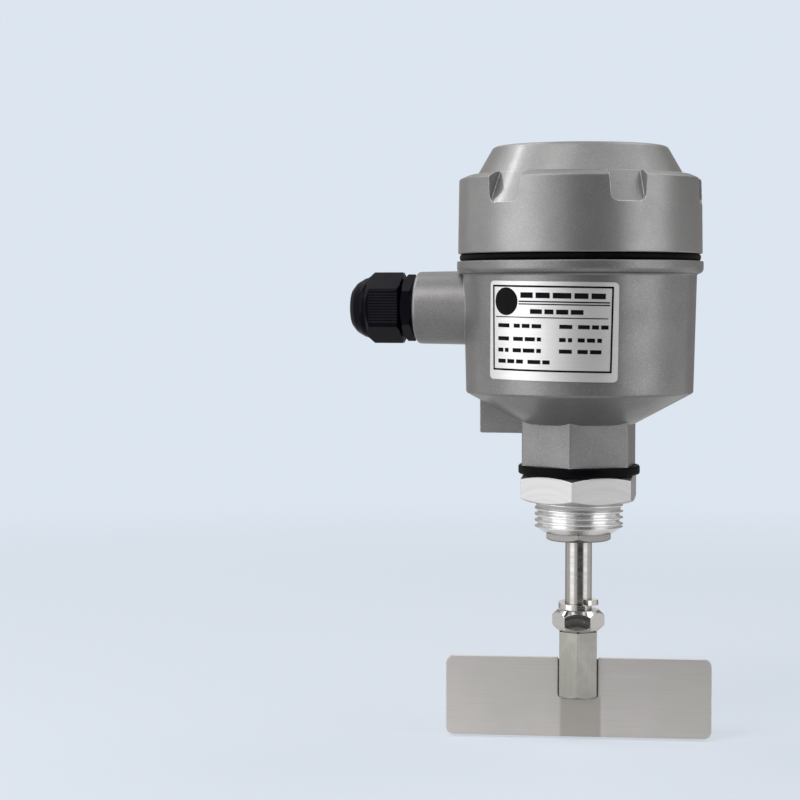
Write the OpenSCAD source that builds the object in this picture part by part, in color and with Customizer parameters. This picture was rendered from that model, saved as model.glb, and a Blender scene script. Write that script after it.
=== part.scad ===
// Rotary paddle level switch: cast head with screw lid, cable gland, threaded adapter,
// paddle shaft on two ball bearings, slip clutch, swinging gear motor and two switches.
// Origin: centre of the thread shoulder, under the adapter hexagon. +Z runs up the shaft
// to the lid, the cable gland points along -X, the data plate faces -Y.

/* [Process adapter] */
// Major diameter of the parallel pipe thread
thread_d = 33.2; // [30:0.1:38]
// Length of the threaded end
thread_l = 11.7; // [10:0.1:24]
// Diameter left at the chamfered thread end
thread_end_d = 27; // [25.6:0.1:29]
// Height of the chamfer on the thread end
thread_end_h = 2.2; // [1:0.1:3]
// Width across flats of the adapter hexagon
adapter_af = 41; // [39:0.5:48]
// Height of the adapter hexagon
adapter_h = 10.3; // [8:0.1:16]
// Turn of the adapter hexagon against the cast neck, degrees
adapter_turn = 2.1; // [-30:0.1:30]
// Diameter of the spigot that enters the cast neck
spigot_d = 33.6; // [30:0.1:35]
// Length of the spigot above the hexagon
spigot_l = 15.4; // [14:0.1:17]
// Diameter of the flat gasket under the neck
gasket_d = 45.5; // [42:0.1:50]
// Thickness of the flat gasket
gasket_t = 3.4; // [1.5:0.1:5]

/* [Cast head] */
// Width across flats of the cast neck
neck_af = 39.7; // [39:0.1:44]
// Height of the neck, gasket to cone
neck_h = 15.7; // [14.5:0.1:24]
// Diameter at the foot of the cone
cone_d = 42.4; // [40:0.1:46]
// Height of the cone
cone_h = 11.5; // [8:0.1:14]
// Diameter of the flange under the lid
flange_d = 91.8; // [86:0.1:110]
// How far the flange stands out past the bowl
flange_lip = 2.4; // [1.5:0.1:4]
// How much the bowl's radius shrinks, flange to foot
bowl_draft = 0.8; // [0.4:0.1:2]
// Wall of the bowl at its foot
bowl_wall = 4.2; // [3:0.1:5]
// Height of the bowl, cone to flange
bowl_h = 44.2; // [42:0.1:70]
// Wall of the cone, measured along the axis
cone_wall = 5; // [4:0.1:6]
// Thickness of the flange
flange_t = 4.7; // [3:0.1:8]
// Wall of the threaded collar inside the lid
collar_wall = 3.4; // [2.6:0.1:3.5]
// Height of that collar above the flange
collar_h = 15.8; // [12:0.1:16]

/* [Lid] */
// How far the lid's rim stands inside the flange's edge
lid_inset = 0.4; // [0.2:0.1:1]
// How much the lid's radius shrinks, rim to shoulder
lid_draft = 0.4; // [0.2:0.1:0.8]
// Height of the drum, rim to shoulder
lid_drum_h = 29.4; // [29:0.1:40]
// Width of the shoulder between the drum and the top frustum
shoulder_w = 6.8; // [5:0.1:8]
// Height of the top frustum
frustum_h = 10.4; // [9:0.1:14]
// Slope of the frustum from the axis, degrees
frustum_slope = 30; // [25:0.5:35]
// Wall of the lid
lid_wall = 3.3; // [2.6:0.1:4]
// Gap between the lid's rim and the flange, filled by the O-ring
lid_gap = 2.7; // [2:0.1:4]
// Clearance of the lid around the collar
lid_clear = 0.35; // [0.3:0.05:0.6]
// Travel of the lid when it is taken off
lid_travel = 60; // [50:1:80]
// Number of grip notches
notches = 6; // [3:1:8]
// Width of a notch at the shoulder
notch_top_w = 15; // [12:0.1:18]
// Width of a notch at its foot
notch_foot_w = 13; // [8:0.1:14]
// Corner radius at a notch's foot
notch_r = 2.6; // [1:0.1:3]
// Turn of the first notch from -Y toward +X, degrees
notch_turn = 30.9; // [0:0.1:60]

/* [Cable gland] */
// Diameter of the cast conduit boss
conduit_d = 27.3; // [24:0.1:30]
// How far the boss face stands out past the bowl
conduit_l = 18.2; // [10:0.1:26]
// Height of the boss axis above the thread shoulder
conduit_z = 72.4; // [66:0.1:74]
// Diameter of the conduit thread
gland_thread_d = 20; // [16:0.5:21]
// Length of gland thread in the boss
gland_thread_l = 12; // [8:0.5:16]
// Width across flats of the gland body
gland_body_af = 22; // [22:0.5:26]
// Thickness of the gland body's hexagon
gland_body_h = 4.1; // [3:0.1:6]
// Thickness of the gland's flat seal
gland_seal_t = 1.2; // [0.8:0.1:2]
// Width across corners of the dome nut
gland_nut_ac = 27; // [25:0.1:29]
// Length of the dome nut's hexagon
gland_nut_h = 11.4; // [10:0.1:16]
// Diameter of the dome
gland_dome_d = 22.8; // [21:0.1:24]
// Length of the dome
gland_dome_h = 6.6; // [5:0.1:10]
// Diameter of the cable hole through the rubber insert
cable_d = 10; // [6:0.1:11]

/* [Data plate] */
// Width of the plate around the bowl
plate_w = 50.2; // [40:0.1:60]
// Height of the plate
plate_h = 35.5; // [30:0.1:39]
// Height of the plate's centre above the bowl's foot
plate_z = 23.4; // [20:0.1:24.5]
// Thickness of the plate
plate_t = 0.4; // [0.2:0.05:0.6]
// Turn of the plate's centre from -Y toward -X, degrees
plate_turn = 6.4; // [-30:0.1:30]
// Lean of the plate, degrees
plate_lean = 1; // [-3:0.1:3]

/* [Shaft and paddle] */
// Diameter of the paddle shaft
shaft_d = 10; // [8:0.1:10.4]
// Length of bare shaft below the packing nut, to the spring washer
shaft_reach = 22.2; // [15:0.1:200]
// Width across flats of the packing nut
packing_af = 24; // [22:0.5:27]
// Height of the packing nut's hexagon
packing_h = 3; // [2.5:0.1:6]
// Outside diameter of the spring washer
washer_d = 15; // [14:0.1:18]
// Thickness of the spring washer
washer_t = 2; // [1.5:0.1:2.5]
// Rise of the open spring washer from one end to the other
washer_rise = 2.1; // [0:0.1:3]
// Width across flats of the jam nut
jam_af = 17; // [16:0.5:19]
// Height of the jam nut
jam_h = 8; // [5:0.1:10]
// Width across flats of the paddle's hex coupler
coupler_af = 14; // [13:0.1:17]
// Length of the coupler
coupler_h = 25; // [20:0.1:40]
// Width of the blade
blade_w = 100; // [50:1:160]
// Height of the blade
blade_h = 30; // [22:0.5:60]
// Thickness of the blade
blade_t = 2; // [1.5:0.1:4]
// Corner radius of the blade
blade_r = 3; // [1:0.1:6]
// Depth of the slot that takes the coupler
slot_h = 15; // [10:0.5:18]
// Gap between the coupler and each side of the slot
slot_gap = 0.6; // [0.3:0.05:1]
// Turn of the paddle at rest, degrees
paddle_turn = 7; // [-90:0.5:90]

/* [Bearings and clutch] */
// Outside diameter of the two ball bearings
bearing_d = 22; // [20:0.5:23]
// Width of a ball bearing
bearing_w = 6; // [5:0.1:7]
// Diameter of the balls
ball_d = 2.6; // [2:0.1:2.8]
// Balls in a bearing
balls = 9; // [6:1:10]
// Diameter of the slip clutch
clutch_d = 19; // [17:0.1:20]
// Face teeth on each clutch half
clutch_teeth = 8; // [6:1:10]
// Height of a clutch tooth
clutch_tooth_h = 1.5; // [1:0.1:2]
// Diameter of the motor's output shaft
motor_shaft_d = 6; // [4:0.1:7]

/* [Drive] */
// Gap between the base plate and the bowl's wall
base_gap = 2; // [1.5:0.1:3]
// Thickness of the base plate and of the swing plate
sheet_t = 2; // [1.5:0.1:3]
// Outside diameter of the pivot tube that the motor swings on
pivot_d = 28; // [26:0.1:30]
// Inside diameter of the pivot tube
pivot_bore_d = 22; // [21:0.1:23]
// Diameter of the swing plate
swing_d = 54; // [52:0.5:56]
// Diameter of the gear motor
motor_d = 48; // [40:0.5:50]
// Height of the gearbox
gearbox_h = 11; // [8:0.5:14]
// Height of the motor can
can_h = 18; // [12:0.5:20]
// Distance between the motor's two screws
motor_span = 58; // [56:0.5:60]
// Length of a microswitch
switch_l = 12.8; // [12:0.1:14]
// Width of a microswitch, along its button
switch_w = 6.5; // [6:0.1:7]
// Height of a microswitch above the base plate
switch_h = 5.8; // [5:0.1:6.2]
// Largest swing of the motor, degrees
swing_max = 5; // [3:0.5:6]
// Distance of the switch levers' pivots from the bowl's wall
pivot_inset = 5.5; // [4.5:0.1:6.5]
// Distance of the pressing posts from the pivot tube
press_gap = 8; // [7.6:0.1:9]
// Distance of the standoffs and screws from the bowl's wall
standoff_inset = 5; // [4.5:0.1:6.5]
// Width across flats of a standoff
standoff_af = 6; // [5:0.5:6.5]
// Height of the terminal plate above the flange
terminal_z = 3.8; // [3:0.1:6]
// Gap between the terminal plate and the bowl's wall
terminal_gap = 2.5; // [1.5:0.1:3.5]
// Poles of the terminal block
poles = 6; // [3:1:7]
// Pitch of the poles
pole_pitch = 6.5; // [5:0.1:7]
// Thread of the plate and motor screws
screw_d = 3; // [2.5:0.5:3]
// Thread of the microswitch screws
switch_screw_d = 1.8; // [1.6:0.1:2]
// Thread of the two earth screws
earth_screw_d = 4; // [3:0.5:4]

/* [Hidden] */

$fn = 96;
eps = 0.01;
drawn_bore_d = 77;  // bore of the bowl that the drive's sizes are drawn for
run_gap = 0.05;      // radial clearance of a shaft in its bearing surface
fit_gap = 0.05;      // radial clearance of a piece pressed or screwed into its seat
free_gap = 0.3;      // clearance between faces of pieces that move past each other

// Sizes of the head that follow the flange
bowl_top_d = flange_d - 2 * flange_lip;
bowl_foot_d = bowl_top_d - 2 * bowl_draft;
bowl_bore_d = bowl_foot_d - 2 * bowl_wall;
collar_d = bowl_bore_d + 2 * collar_wall;
lid_d = flange_d - 2 * lid_inset;
lid_top_d = lid_d - 2 * lid_draft;
frustum_d = lid_top_d - 2 * shoulder_w;
conduit_reach = bowl_top_d / 2 + conduit_l;

// The drive's radii grow with the bowl's bore
grow = bowl_bore_d / drawn_bore_d;
base_r = bowl_bore_d / 2 - base_gap;
terminal_r = bowl_bore_d / 2 - terminal_gap;
pivot_r = grow * pivot_d / 2;
pivot_bore_r = grow * pivot_bore_d / 2;
swing_r = grow * swing_d / 2;
motor_r = grow * motor_d / 2;
ear_r = grow * motor_span / 2;
lever_pivot_r = bowl_bore_d / 2 - pivot_inset;
press_r = pivot_r + press_gap;

// Heights up the axis
z_gasket = adapter_h;
z_neck = z_gasket + gasket_t;
z_cone = z_neck + neck_h;
z_bowl = z_cone + cone_h;
z_flange = z_bowl + bowl_h;
z_face = z_flange + flange_t;
z_rim = z_face + lid_gap;
z_shoulder = z_rim + lid_drum_h;
z_top = z_shoulder + frustum_h;
z_spigot = z_gasket + spigot_l;
z_packing = -thread_l - packing_h;
z_washer = z_packing - shaft_reach;
z_jam = z_washer - washer_t - washer_rise;
z_coupler = z_jam - jam_h - 0.2;
z_slot = z_coupler - coupler_h - 0.2;
z_blade = z_slot + slot_h;
z_floor = z_cone + cone_wall - 0.9;
z_base = z_bowl + 2.6;
z_deck = z_base + sheet_t;
z_swing = z_deck + switch_h + 1.7;
z_motor = z_swing + sheet_t;
z_can = z_motor + gearbox_h;
z_terminal = z_face + terminal_z;
z_block = z_terminal + sheet_t;

// Bearings stand against the packing nut below and a circlip above
z_bearing_low = -bearing_w + 0.3;
z_bearing_high = z_spigot - 2 - bearing_w;
circlip_t = 1;
inner_ring_d = shaft_d + 4;
outer_ring_bore_d = bearing_d - 4;
ball_circle_r = (inner_ring_d + outer_ring_bore_d) / 4;

// Clutch: lower half on the shaft's top end, upper half on the motor's output shaft
z_clutch = z_base - 9.5;
clutch_hub_h = 6;
z_teeth = z_clutch + clutch_hub_h;
clutch_upper_h = 4;
z_shaft_top = z_teeth - 1.2;
z_spring_foot = z_teeth + clutch_tooth_h + 0.2 + clutch_upper_h;
z_retainer = z_swing - 2.2;

// Lid, collar and neck sizes that follow the walls
lid_bore_d = collar_d + 2 * lid_clear;
frustum_top_d = frustum_d - 2 * frustum_h * tan(frustum_slope);
neck_ac = neck_af / cos(30);
cavity_foot_d = 2 * (pivot_bore_r + 9);

// Switch stations, as turns about the axis
signal_turn = 60;
cutoff_turn = 300;
screw_turns = [30, 150, 270];
screw_r = bowl_bore_d / 2 - standoff_inset;
standoff_r = screw_r;
standoff_turns = [0, 120, 240];
motor_ear_turn = 30;
spring_fixed_turn = 165;
spring_fixed_r = screw_r - 1.5;
spring_moving_turn = 205;
spring_moving_r = press_r + 2;
earth_turn = 143;
earth_r = bowl_bore_d / 2 - 3.8;

// Lever ratio: the post moves press_r per radian, the lever turns about its own pivot
lever_arm = lever_pivot_r - press_r;
lever_max = swing_max * press_r / lever_arm;
post_d = 3;
lever_t = 0.6;
lever_l = lever_arm + 1.6;
button_at = 4.5;
button_d = 1.8;
lever_gap = 0.7;

function unit(v) = v / norm(v);

// Points of an arc that rounds corner p, between its neighbours a and b
function corner(a, p, b, r, n) =
    r <= 0 ? [p] :
    let (u = unit(a - p), v = unit(b - p), half = acos(u * v) / 2)
    let (c = p + unit(u + v) * r / sin(half), t = r / tan(half))
    let (s = p + u * t - c, e = p + v * t - c)
    let (a0 = atan2(s[1], s[0]), raw = atan2(e[1], e[0]) - a0)
    let (sweep = raw > 180 ? raw - 360 : raw < -180 ? raw + 360 : raw)
    [for (i = [0:n]) c + r * [cos(a0 + sweep * i / n), sin(a0 + sweep * i / n)]];

// Outline [x, y, r]: each corner is rounded by its own radius
function rounded(q, n = 6) = [for (i = [0:len(q) - 1])
    let (k = len(q), a = q[(i + k - 1) % k], p = q[i], b = q[(i + 1) % k])
    each corner([a[0], a[1]], [p[0], p[1]], [b[0], b[1]], p[2], n)];

// Ring from radius r0 to r1, standing on z
module ring(r0, r1, z, h) {
    translate([0, 0, z])
        difference() {
            cylinder(r = r1, h = h);
            translate([0, 0, -1])
                cylinder(r = r0, h = h + 2);
        }
}

module disc(r, z, h) {
    translate([0, 0, z])
        cylinder(r = r, h = h);
}

module at_polar(r, turn, z = 0) {
    rotate(turn)
        translate([r, 0, z])
            children();
}

// Hexagonal prism on z; its corners are turned off by cones at the foot and the head
module hexagon(af, z, h, foot = 0, head = 0, start = 0.95, slope = 30) {
    ac = af / cos(30) / 2;
    bite = ac - af / 2 * start;
    translate([0, 0, z])
        intersection() {
            cylinder(r = ac, h = h, $fn = 6);
            rotate_extrude()
                polygon([[0, 0], [foot > 0 ? ac - bite : ac + 1, 0],
                    [ac + (foot > 0 ? 0 : 1), foot > 0 ? bite * tan(slope) : 0],
                    [ac + (head > 0 ? 0 : 1), head > 0 ? h - bite * tan(slope) : h],
                    [head > 0 ? ac - bite : ac + 1, h], [0, h]]);
        }
}

// Pan-head screw: head up from z, shank down; head is the head's size in thread diameters
module pan_screw(d, l, head = 1.87) {
    head_d = head * d;
    head_h = 2 / 3 * d;
    difference() {
        union() {
            rotate_extrude()
                polygon(rounded([[0, 0, 0], [head_d / 2, 0, 0],
                    [head_d / 2, head_h, head_h * 0.45], [0, head_h, 0]], 4));
            translate([0, 0, -l])
                cylinder(d = d, h = l + eps);
        }
        translate([-head_d, -d / 8, head_h * 0.45])
            cube([2 * head_d, d / 4, head_h]);
    }
}

// Closed coil of round wire along z
function coil_point(i, steps, turns, r, l) =
    [r * cos(360 * turns * i / steps), r * sin(360 * turns * i / steps), l * i / steps];

module coil(r, wire_d, l, turns, per_turn = 16, sides = 6) {
    steps = turns * per_turn;
    pts = [for (i = [0:steps]) for (k = [0:sides - 1])
        let (c = coil_point(i, steps, turns, r, l), a = 360 * turns * i / steps)
        let (b = 360 * k / sides, w = wire_d / 2)
        c + [w * cos(b) * cos(a), w * cos(b) * sin(a), w * sin(b)]];
    wall = [for (i = [0:steps - 1]) for (k = [0:sides - 1])
        let (m = (k + 1) % sides)
        [i * sides + k, i * sides + m, (i + 1) * sides + m, (i + 1) * sides + k]];
    polyhedron(pts, concat([[for (k = [sides - 1:-1:0]) k]], wall,
        [[for (k = [0:sides - 1]) steps * sides + k]]), convexity = 10);
}

// Cast head

module housing_outside() {
    intersection() {
        rotate(30)
            disc_hex(neck_ac / 2, z_neck, neck_h + cone_h / 2);
        disc(neck_ac / 2 - 0.2, z_neck, neck_h + cone_h / 2);
    }
    rotate_extrude()
        polygon(rounded([[0, z_cone, 0], [cone_d / 2, z_cone, 0],
            [bowl_foot_d / 2 - 0.3, z_bowl, 1.2], [bowl_top_d / 2, z_flange, 0.9],
            [flange_d / 2, z_flange, 2], [flange_d / 2, z_face, 0.5], [0, z_face, 0]]));
    disc(collar_d / 2, z_face - eps, collar_h + eps);
    conduit_boss();
    earth_lug();
}

module disc_hex(r, z, h) {
    translate([0, 0, z])
        cylinder(r = r, h = h, $fn = 6);
}

module conduit_boss() {
    translate([0, 0, conduit_z])
        rotate([0, -90, 0])
            rotate_extrude()
                polygon(rounded([[0, 30, 0], [conduit_d / 2 + 0.5, 30, 0],
                    [conduit_d / 2, conduit_reach, 1.2], [0, conduit_reach, 0]], 3));
}

lug_t = 6;
lug_reach = bowl_foot_d / 2 - 5.4;
lug_foot = 4.1;

// Cast earth lug under the conduit, in the plane of the gland
module earth_lug() {
    translate([0, lug_t / 2, 0])
        rotate([90, 0, 0])
            linear_extrude(height = lug_t)
                polygon(rounded([[-cone_d / 2 + 4, z_cone - lug_foot, 0],
                    [-lug_reach, z_cone - lug_foot, 0.8],
                    [-lug_reach, z_bowl - 0.8, 0], [-cone_d / 2 + 4, z_bowl - 0.8, 0]]));
}

module housing_inside() {
    cone_in = z_base - 1.1;
    rotate_extrude()
        polygon(rounded([[0, z_floor, 0], [cavity_foot_d / 2, z_floor, 2],
            [bowl_bore_d / 2, cone_in, 3], [bowl_bore_d / 2, z_face + collar_h + 1, 0],
            [0, z_face + collar_h + 1, 0]], 4));
    disc(spigot_d / 2 + fit_gap, z_neck - 1, z_spigot + 0.4 - z_neck + 1);
    disc(clutch_d / 2 + 2, z_neck, z_floor - z_neck + 1);
    translate([0, 0, conduit_z])
        rotate([0, -90, 0])
            cylinder(d = gland_thread_d, h = conduit_reach + 1);
}

// Bosses that carry the base plate and the inner earth screw
module housing_bosses() {
    intersection() {
        union() {
            for (a = screw_turns)
                at_polar(screw_r, a)
                    disc(4.2, z_cone, z_base - z_cone);
            at_polar(earth_r - 4.2, earth_turn)
                translate([0, -4.2, z_flange - 17])
                    cube([9, 8.4, 12]);
        }
        disc(bowl_bore_d / 2 + 1, z_cone, bowl_h + cone_h);
    }
}

module housing() {
    color([0.62, 0.63, 0.63])
    difference() {
        union() {
            difference() {
                housing_outside();
                housing_inside();
            }
            intersection() {
                housing_bosses();
                rotate_extrude()
                    polygon([[0, z_cone], [cone_d / 2, z_cone], [bowl_foot_d / 2 - 1.5, z_bowl],
                        [bowl_top_d / 2 - 1, z_flange], [0, z_flange]]);
            }
        }
        for (a = screw_turns)
            at_polar(screw_r, a)
                disc(screw_d / 2 + fit_gap, z_base - 5, 6);
        at_polar(earth_r, earth_turn)
            disc(earth_screw_d / 2 + fit_gap, z_flange - 13, 9);
        translate([-lug_reach + 5.5, 0, z_cone - lug_foot + 5])
            rotate([-90, 0, 0])
                disc(earth_screw_d / 2 + fit_gap, 1.2 - lug_t / 2, lug_t);
    }
}

// Screw lid

module lid_outside() {
    rotate_extrude()
        polygon(rounded([[0, z_rim, 0], [lid_d / 2, z_rim, 0.5],
            [lid_top_d / 2, z_shoulder - 1.8, 1], [frustum_d / 2 + 2.9, z_shoulder, 7],
            [frustum_d / 2, z_shoulder, 0], [frustum_top_d / 2, z_top, 2], [0, z_top, 0]]));
}

module lid_inside() {
    slope = tan(frustum_slope);
    z_step = z_face + collar_h + 1.2;
    r_step = frustum_d / 2 + (z_shoulder - z_step) * slope - lid_wall / cos(frustum_slope);
    z_roof = z_top - lid_wall;
    r_in = min(r_step, lid_bore_d / 2 - 1);
    z_in = z_step + (r_step - r_in) / slope;
    rotate_extrude()
        polygon([[0, z_rim - 1], [lid_bore_d / 2, z_rim - 1], [lid_bore_d / 2, z_step],
            [r_in, z_step], [r_in, z_in], [r_step - (z_roof - z_step) * slope, z_roof],
            [0, z_roof]]);
}

module notch_cutter() {
    slope = tan(frustum_slope);
    h = 14.3;
    rotate([90, 0, 0])
        translate([0, 0, frustum_d / 2 - 4])
            linear_extrude(height = lid_d / 2)
                polygon(rounded([[-notch_top_w / 2, z_shoulder + 0.4, 0],
                    [-notch_foot_w / 2, z_shoulder - h + 3, notch_r],
                    [notch_foot_w / 2, z_shoulder - h + 3, notch_r],
                    [notch_top_w / 2, z_shoulder + 0.4, 0]]));
}

module lid() {
    slope = tan(frustum_slope);
    color([0.65, 0.66, 0.66])
    difference() {
        lid_outside();
        lid_inside();
        difference() {
            for (i = [0:notches - 1])
                rotate(notch_turn + 360 / notches * i)
                    notch_cutter();
            translate([0, 0, z_shoulder - 20])
                cylinder(r1 = frustum_d / 2 + 0.03 + 20 * slope,
                    r2 = frustum_d / 2 + 0.03 - 2 * slope, h = 22);
        }
    }
}

module lid_oring() {
    color([0.05, 0.05, 0.05])
    rotate_extrude()
        polygon(rounded([[collar_d / 2 + 0.1, z_face, 0], [lid_d / 2 - 0.6, z_face, 1.1],
            [lid_d / 2 - 0.6, z_rim, 1.1], [collar_d / 2 + 0.1, z_rim, 0]], 5));
}

module data_plate() {
    zc = z_bowl + plate_z;
    rise = (bowl_top_d - bowl_foot_d + 0.6) / 2 / bowl_h;
    r0 = bowl_foot_d / 2 - 0.3;
    half = (bowl_foot_d + bowl_top_d) / 4 * sin(plate_w / 2 / (bowl_foot_d + bowl_top_d) * 720 / PI);
    color([0.78, 0.78, 0.77])
    intersection() {
        rotate_extrude()
            polygon([[r0 + 0.02, z_bowl], [r0 + plate_t, z_bowl],
                [r0 + rise * bowl_h + plate_t, z_flange], [r0 + rise * bowl_h + 0.02, z_flange]]);
        rotate(-plate_turn)
            translate([0, -10, zc])
                rotate([90, 0, 0])
                    rotate(-plate_lean)
                        linear_extrude(height = 60)
                            polygon(rounded([[-half, -plate_h / 2, 1.5], [half, -plate_h / 2, 1.5],
                                [half, plate_h / 2, 1.5], [-half, plate_h / 2, 1.5]], 5));
    }
}

// Process adapter, seal and bearings

module neck_gasket() {
    color([0.05, 0.05, 0.05])
    rotate_extrude()
        polygon(rounded([[spigot_d / 2 + 0.2, z_gasket, 0], [gasket_d / 2, z_gasket, 0.8],
            [gasket_d / 2, z_neck, 0.8], [spigot_d / 2 + 0.2, z_neck, 0]], 4));
}

module adapter() {
    color([0.83, 0.84, 0.85])
    difference() {
        union() {
            rotate(30 + adapter_turn)
                hexagon(adapter_af, 0, adapter_h, 1, 1, 0.97, 23);
            rotate_extrude()
                polygon([[0, -thread_l], [thread_end_d / 2, -thread_l],
                    [thread_d / 2, -thread_l + thread_end_h], [thread_d / 2, 0.5], [0, 0.5]]);
            disc(spigot_d / 2, adapter_h - eps, spigot_l + eps);
        }
        disc(bearing_d / 2, -thread_l - 1, thread_l + z_spigot + 2);
        disc(bearing_d / 2 + 0.6, z_bearing_high + bearing_w + 0.02, circlip_t + 0.1);
    }
}

module packing_nut() {
    color([0.66, 0.65, 0.62])
    difference() {
        union() {
            rotate(38)
                hexagon(packing_af, z_packing, packing_h, 1, 0);
            disc(bearing_d / 2 - fit_gap, -thread_l - eps, thread_l + z_bearing_low);
        }
        disc(inner_ring_d / 2 + 1, z_packing + 1.2, 30);
        disc(shaft_d / 2 + 0.4, z_packing - 1, 10);
    }
}

module shaft_seal() {
    z0 = z_packing + 1.2;
    color([0.08, 0.08, 0.08])
    rotate_extrude()
        polygon([[shaft_d / 2 + 0.08, z0 + 1], [shaft_d / 2 + 1.4, z0], [inner_ring_d / 2 + 0.95, z0],
            [inner_ring_d / 2 + 0.95, z0 + 5], [shaft_d / 2 + 1.9, z0 + 5],
            [shaft_d / 2 + 1.4, z0 + 2.2], [shaft_d / 2 + 0.08, z0 + 1.8]]);
}

// Ring of a ball bearing with its groove
module race(r0, r1, z) {
    rotate_extrude()
        difference() {
            translate([r0, z])
                square([r1 - r0, bearing_w]);
            translate([ball_circle_r, z + bearing_w / 2])
                circle(d = ball_d + 2 * 0.25, $fn = 48);
        }
}

module ball_set(z) {
    translate([0, 0, z + bearing_w / 2]) {
        for (i = [0:balls - 1])
            rotate(360 / balls * i)
                translate([ball_circle_r, 0, 0])
                    sphere(d = ball_d, $fn = 32);
        ring(ball_circle_r - 0.5, ball_circle_r + 0.5, -0.6, 1.2);
    }
}

module bearing_outer_rings() {
    color([0.7, 0.7, 0.7]) {
        race(outer_ring_bore_d / 2, bearing_d / 2 - 0.02, z_bearing_low);
        race(outer_ring_bore_d / 2, bearing_d / 2 - 0.02, z_bearing_high);
    }
}

module bearing_inner_rings() {
    color([0.72, 0.72, 0.72]) {
        race(shaft_d / 2 + 0.01, inner_ring_d / 2, z_bearing_low);
        race(shaft_d / 2 + 0.01, inner_ring_d / 2, z_bearing_high);
    }
}

module balls_lower() {
    color([0.8, 0.8, 0.8])
        ball_set(z_bearing_low);
}

module balls_upper() {
    color([0.8, 0.8, 0.8])
        ball_set(z_bearing_high);
}

module bearing_spacer() {
    z0 = z_bearing_low + bearing_w;
    color([0.6, 0.6, 0.6])
        ring(outer_ring_bore_d / 2 - 0.5, bearing_d / 2 - fit_gap, z0, z_bearing_high - z0);
}

// Open retaining ring: a ring with a gap and two eyes
module open_ring(r0, r1, z, eye) {
    difference() {
        union() {
            ring(r0, r1, z, circlip_t);
            for (a = [-36, 36])
                at_polar(eye, a)
                    disc(1.2, z, circlip_t);
        }
        translate([0, -1.6, z - 1])
            cube([r1 + 4, 3.2, circlip_t + 2]);
        for (a = [-36, 36])
            at_polar(eye, a)
                disc(0.5, z - 1, circlip_t + 2);
    }
}

module bearing_circlip() {
    z0 = z_bearing_high + bearing_w + 0.05;
    color([0.3, 0.3, 0.3])
    difference() {
        union() {
            ring(bearing_d / 2 - 1.5, bearing_d / 2 + 0.5, z0, circlip_t);
            for (a = [-14, 14])
                at_polar(bearing_d / 2 - 1.8, a)
                    disc(1.1, z0, circlip_t);
        }
        translate([0, -1.2, z0 - 1])
            cube([bearing_d, 2.4, circlip_t + 2]);
        for (a = [-14, 14])
            at_polar(bearing_d / 2 - 1.8, a)
                disc(0.5, z0 - 1, circlip_t + 2);
    }
}

module shaft_circlips() {
    color([0.3, 0.3, 0.3])
    for (z = [z_bearing_low - circlip_t - 0.05, z_bearing_high + bearing_w + 0.05])
        open_ring(shaft_d / 2 - 0.35, shaft_d / 2 + 1.3, z, shaft_d / 2 + 1.2);
}

module shaft() {
    color([0.68, 0.67, 0.64])
    difference() {
        rotate_extrude()
            polygon(rounded([[0, z_slot + 6, 0], [shaft_d / 2 - 0.8, z_slot + 6, 0],
                [shaft_d / 2, z_slot + 6.8, 0], [shaft_d / 2, z_shaft_top - 0.6, 0],
                [shaft_d / 2 - 0.6, z_shaft_top, 0], [0, z_shaft_top, 0]]));
        for (z = [z_bearing_low - circlip_t - 0.1, z_bearing_high + bearing_w + 0.02])
            ring(shaft_d / 2 - 0.4, shaft_d / 2 + 1, z, circlip_t + 0.08);
        disc(motor_shaft_d / 2 + run_gap, z_shaft_top - 3, 4);
    }
}

// Lock washer, jam nut and paddle

split_turn = 25 + 8.3;

// Split spring washer: a flat bar wound into one open turn
module spring_washer() {
    r0 = shaft_d / 2 + 0.1;
    r1 = washer_d / 2;
    steps = 60;
    gap = 9;
    z0 = z_jam;
    pts = [for (i = [0:steps])
        let (a = split_turn - 90 + gap / 2 + (360 - gap) * i / steps)
        let (z = z0 + washer_rise * (1 - i / steps))
        each [[r0 * cos(a), r0 * sin(a), z], [r1 * cos(a), r1 * sin(a), z],
            [r1 * cos(a), r1 * sin(a), z + washer_t], [r0 * cos(a), r0 * sin(a), z + washer_t]]];
    wall = [for (i = [0:steps - 1]) for (k = [0:3])
        let (m = (k + 1) % 4)
        [i * 4 + k, i * 4 + m, (i + 1) * 4 + m, (i + 1) * 4 + k]];
    color([0.6, 0.58, 0.55])
        polyhedron(pts, concat([[3, 2, 1, 0]], wall,
            [[for (k = [0:3]) steps * 4 + k]]), convexity = 6);
}

module jam_nut() {
    color([0.62, 0.6, 0.57])
    difference() {
        rotate(paddle_turn - 1)
            hexagon(jam_af, z_jam - jam_h, jam_h, 1, 1, 0.9, 45);
        disc(shaft_d / 2 + 0.02, z_jam - jam_h - 1, jam_h + 2);
    }
}

module coupler() {
    color([0.64, 0.63, 0.6])
    difference() {
        rotate(paddle_turn)
            rotate(30)
                hexagon(coupler_af, z_coupler - coupler_h, coupler_h, 1, 0);
        disc(shaft_d / 2 + 0.02, z_slot + 5, coupler_h + 2);
    }
}

module blade() {
    w = blade_w / 2;
    s = coupler_af / 2 + slot_gap;
    z0 = z_blade - blade_h;
    color([0.69, 0.68, 0.65])
    rotate(paddle_turn)
        translate([0, blade_t / 2, 0])
            rotate([90, 0, 0])
                linear_extrude(height = blade_t)
                    polygon(rounded([[-w, z0, blade_r], [w, z0, blade_r], [w, z_blade, blade_r],
                        [s, z_blade, 0.6], [s, z_slot, 1], [-s, z_slot, 1], [-s, z_blade, 0.6],
                        [-w, z_blade, blade_r]]));
}

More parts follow.
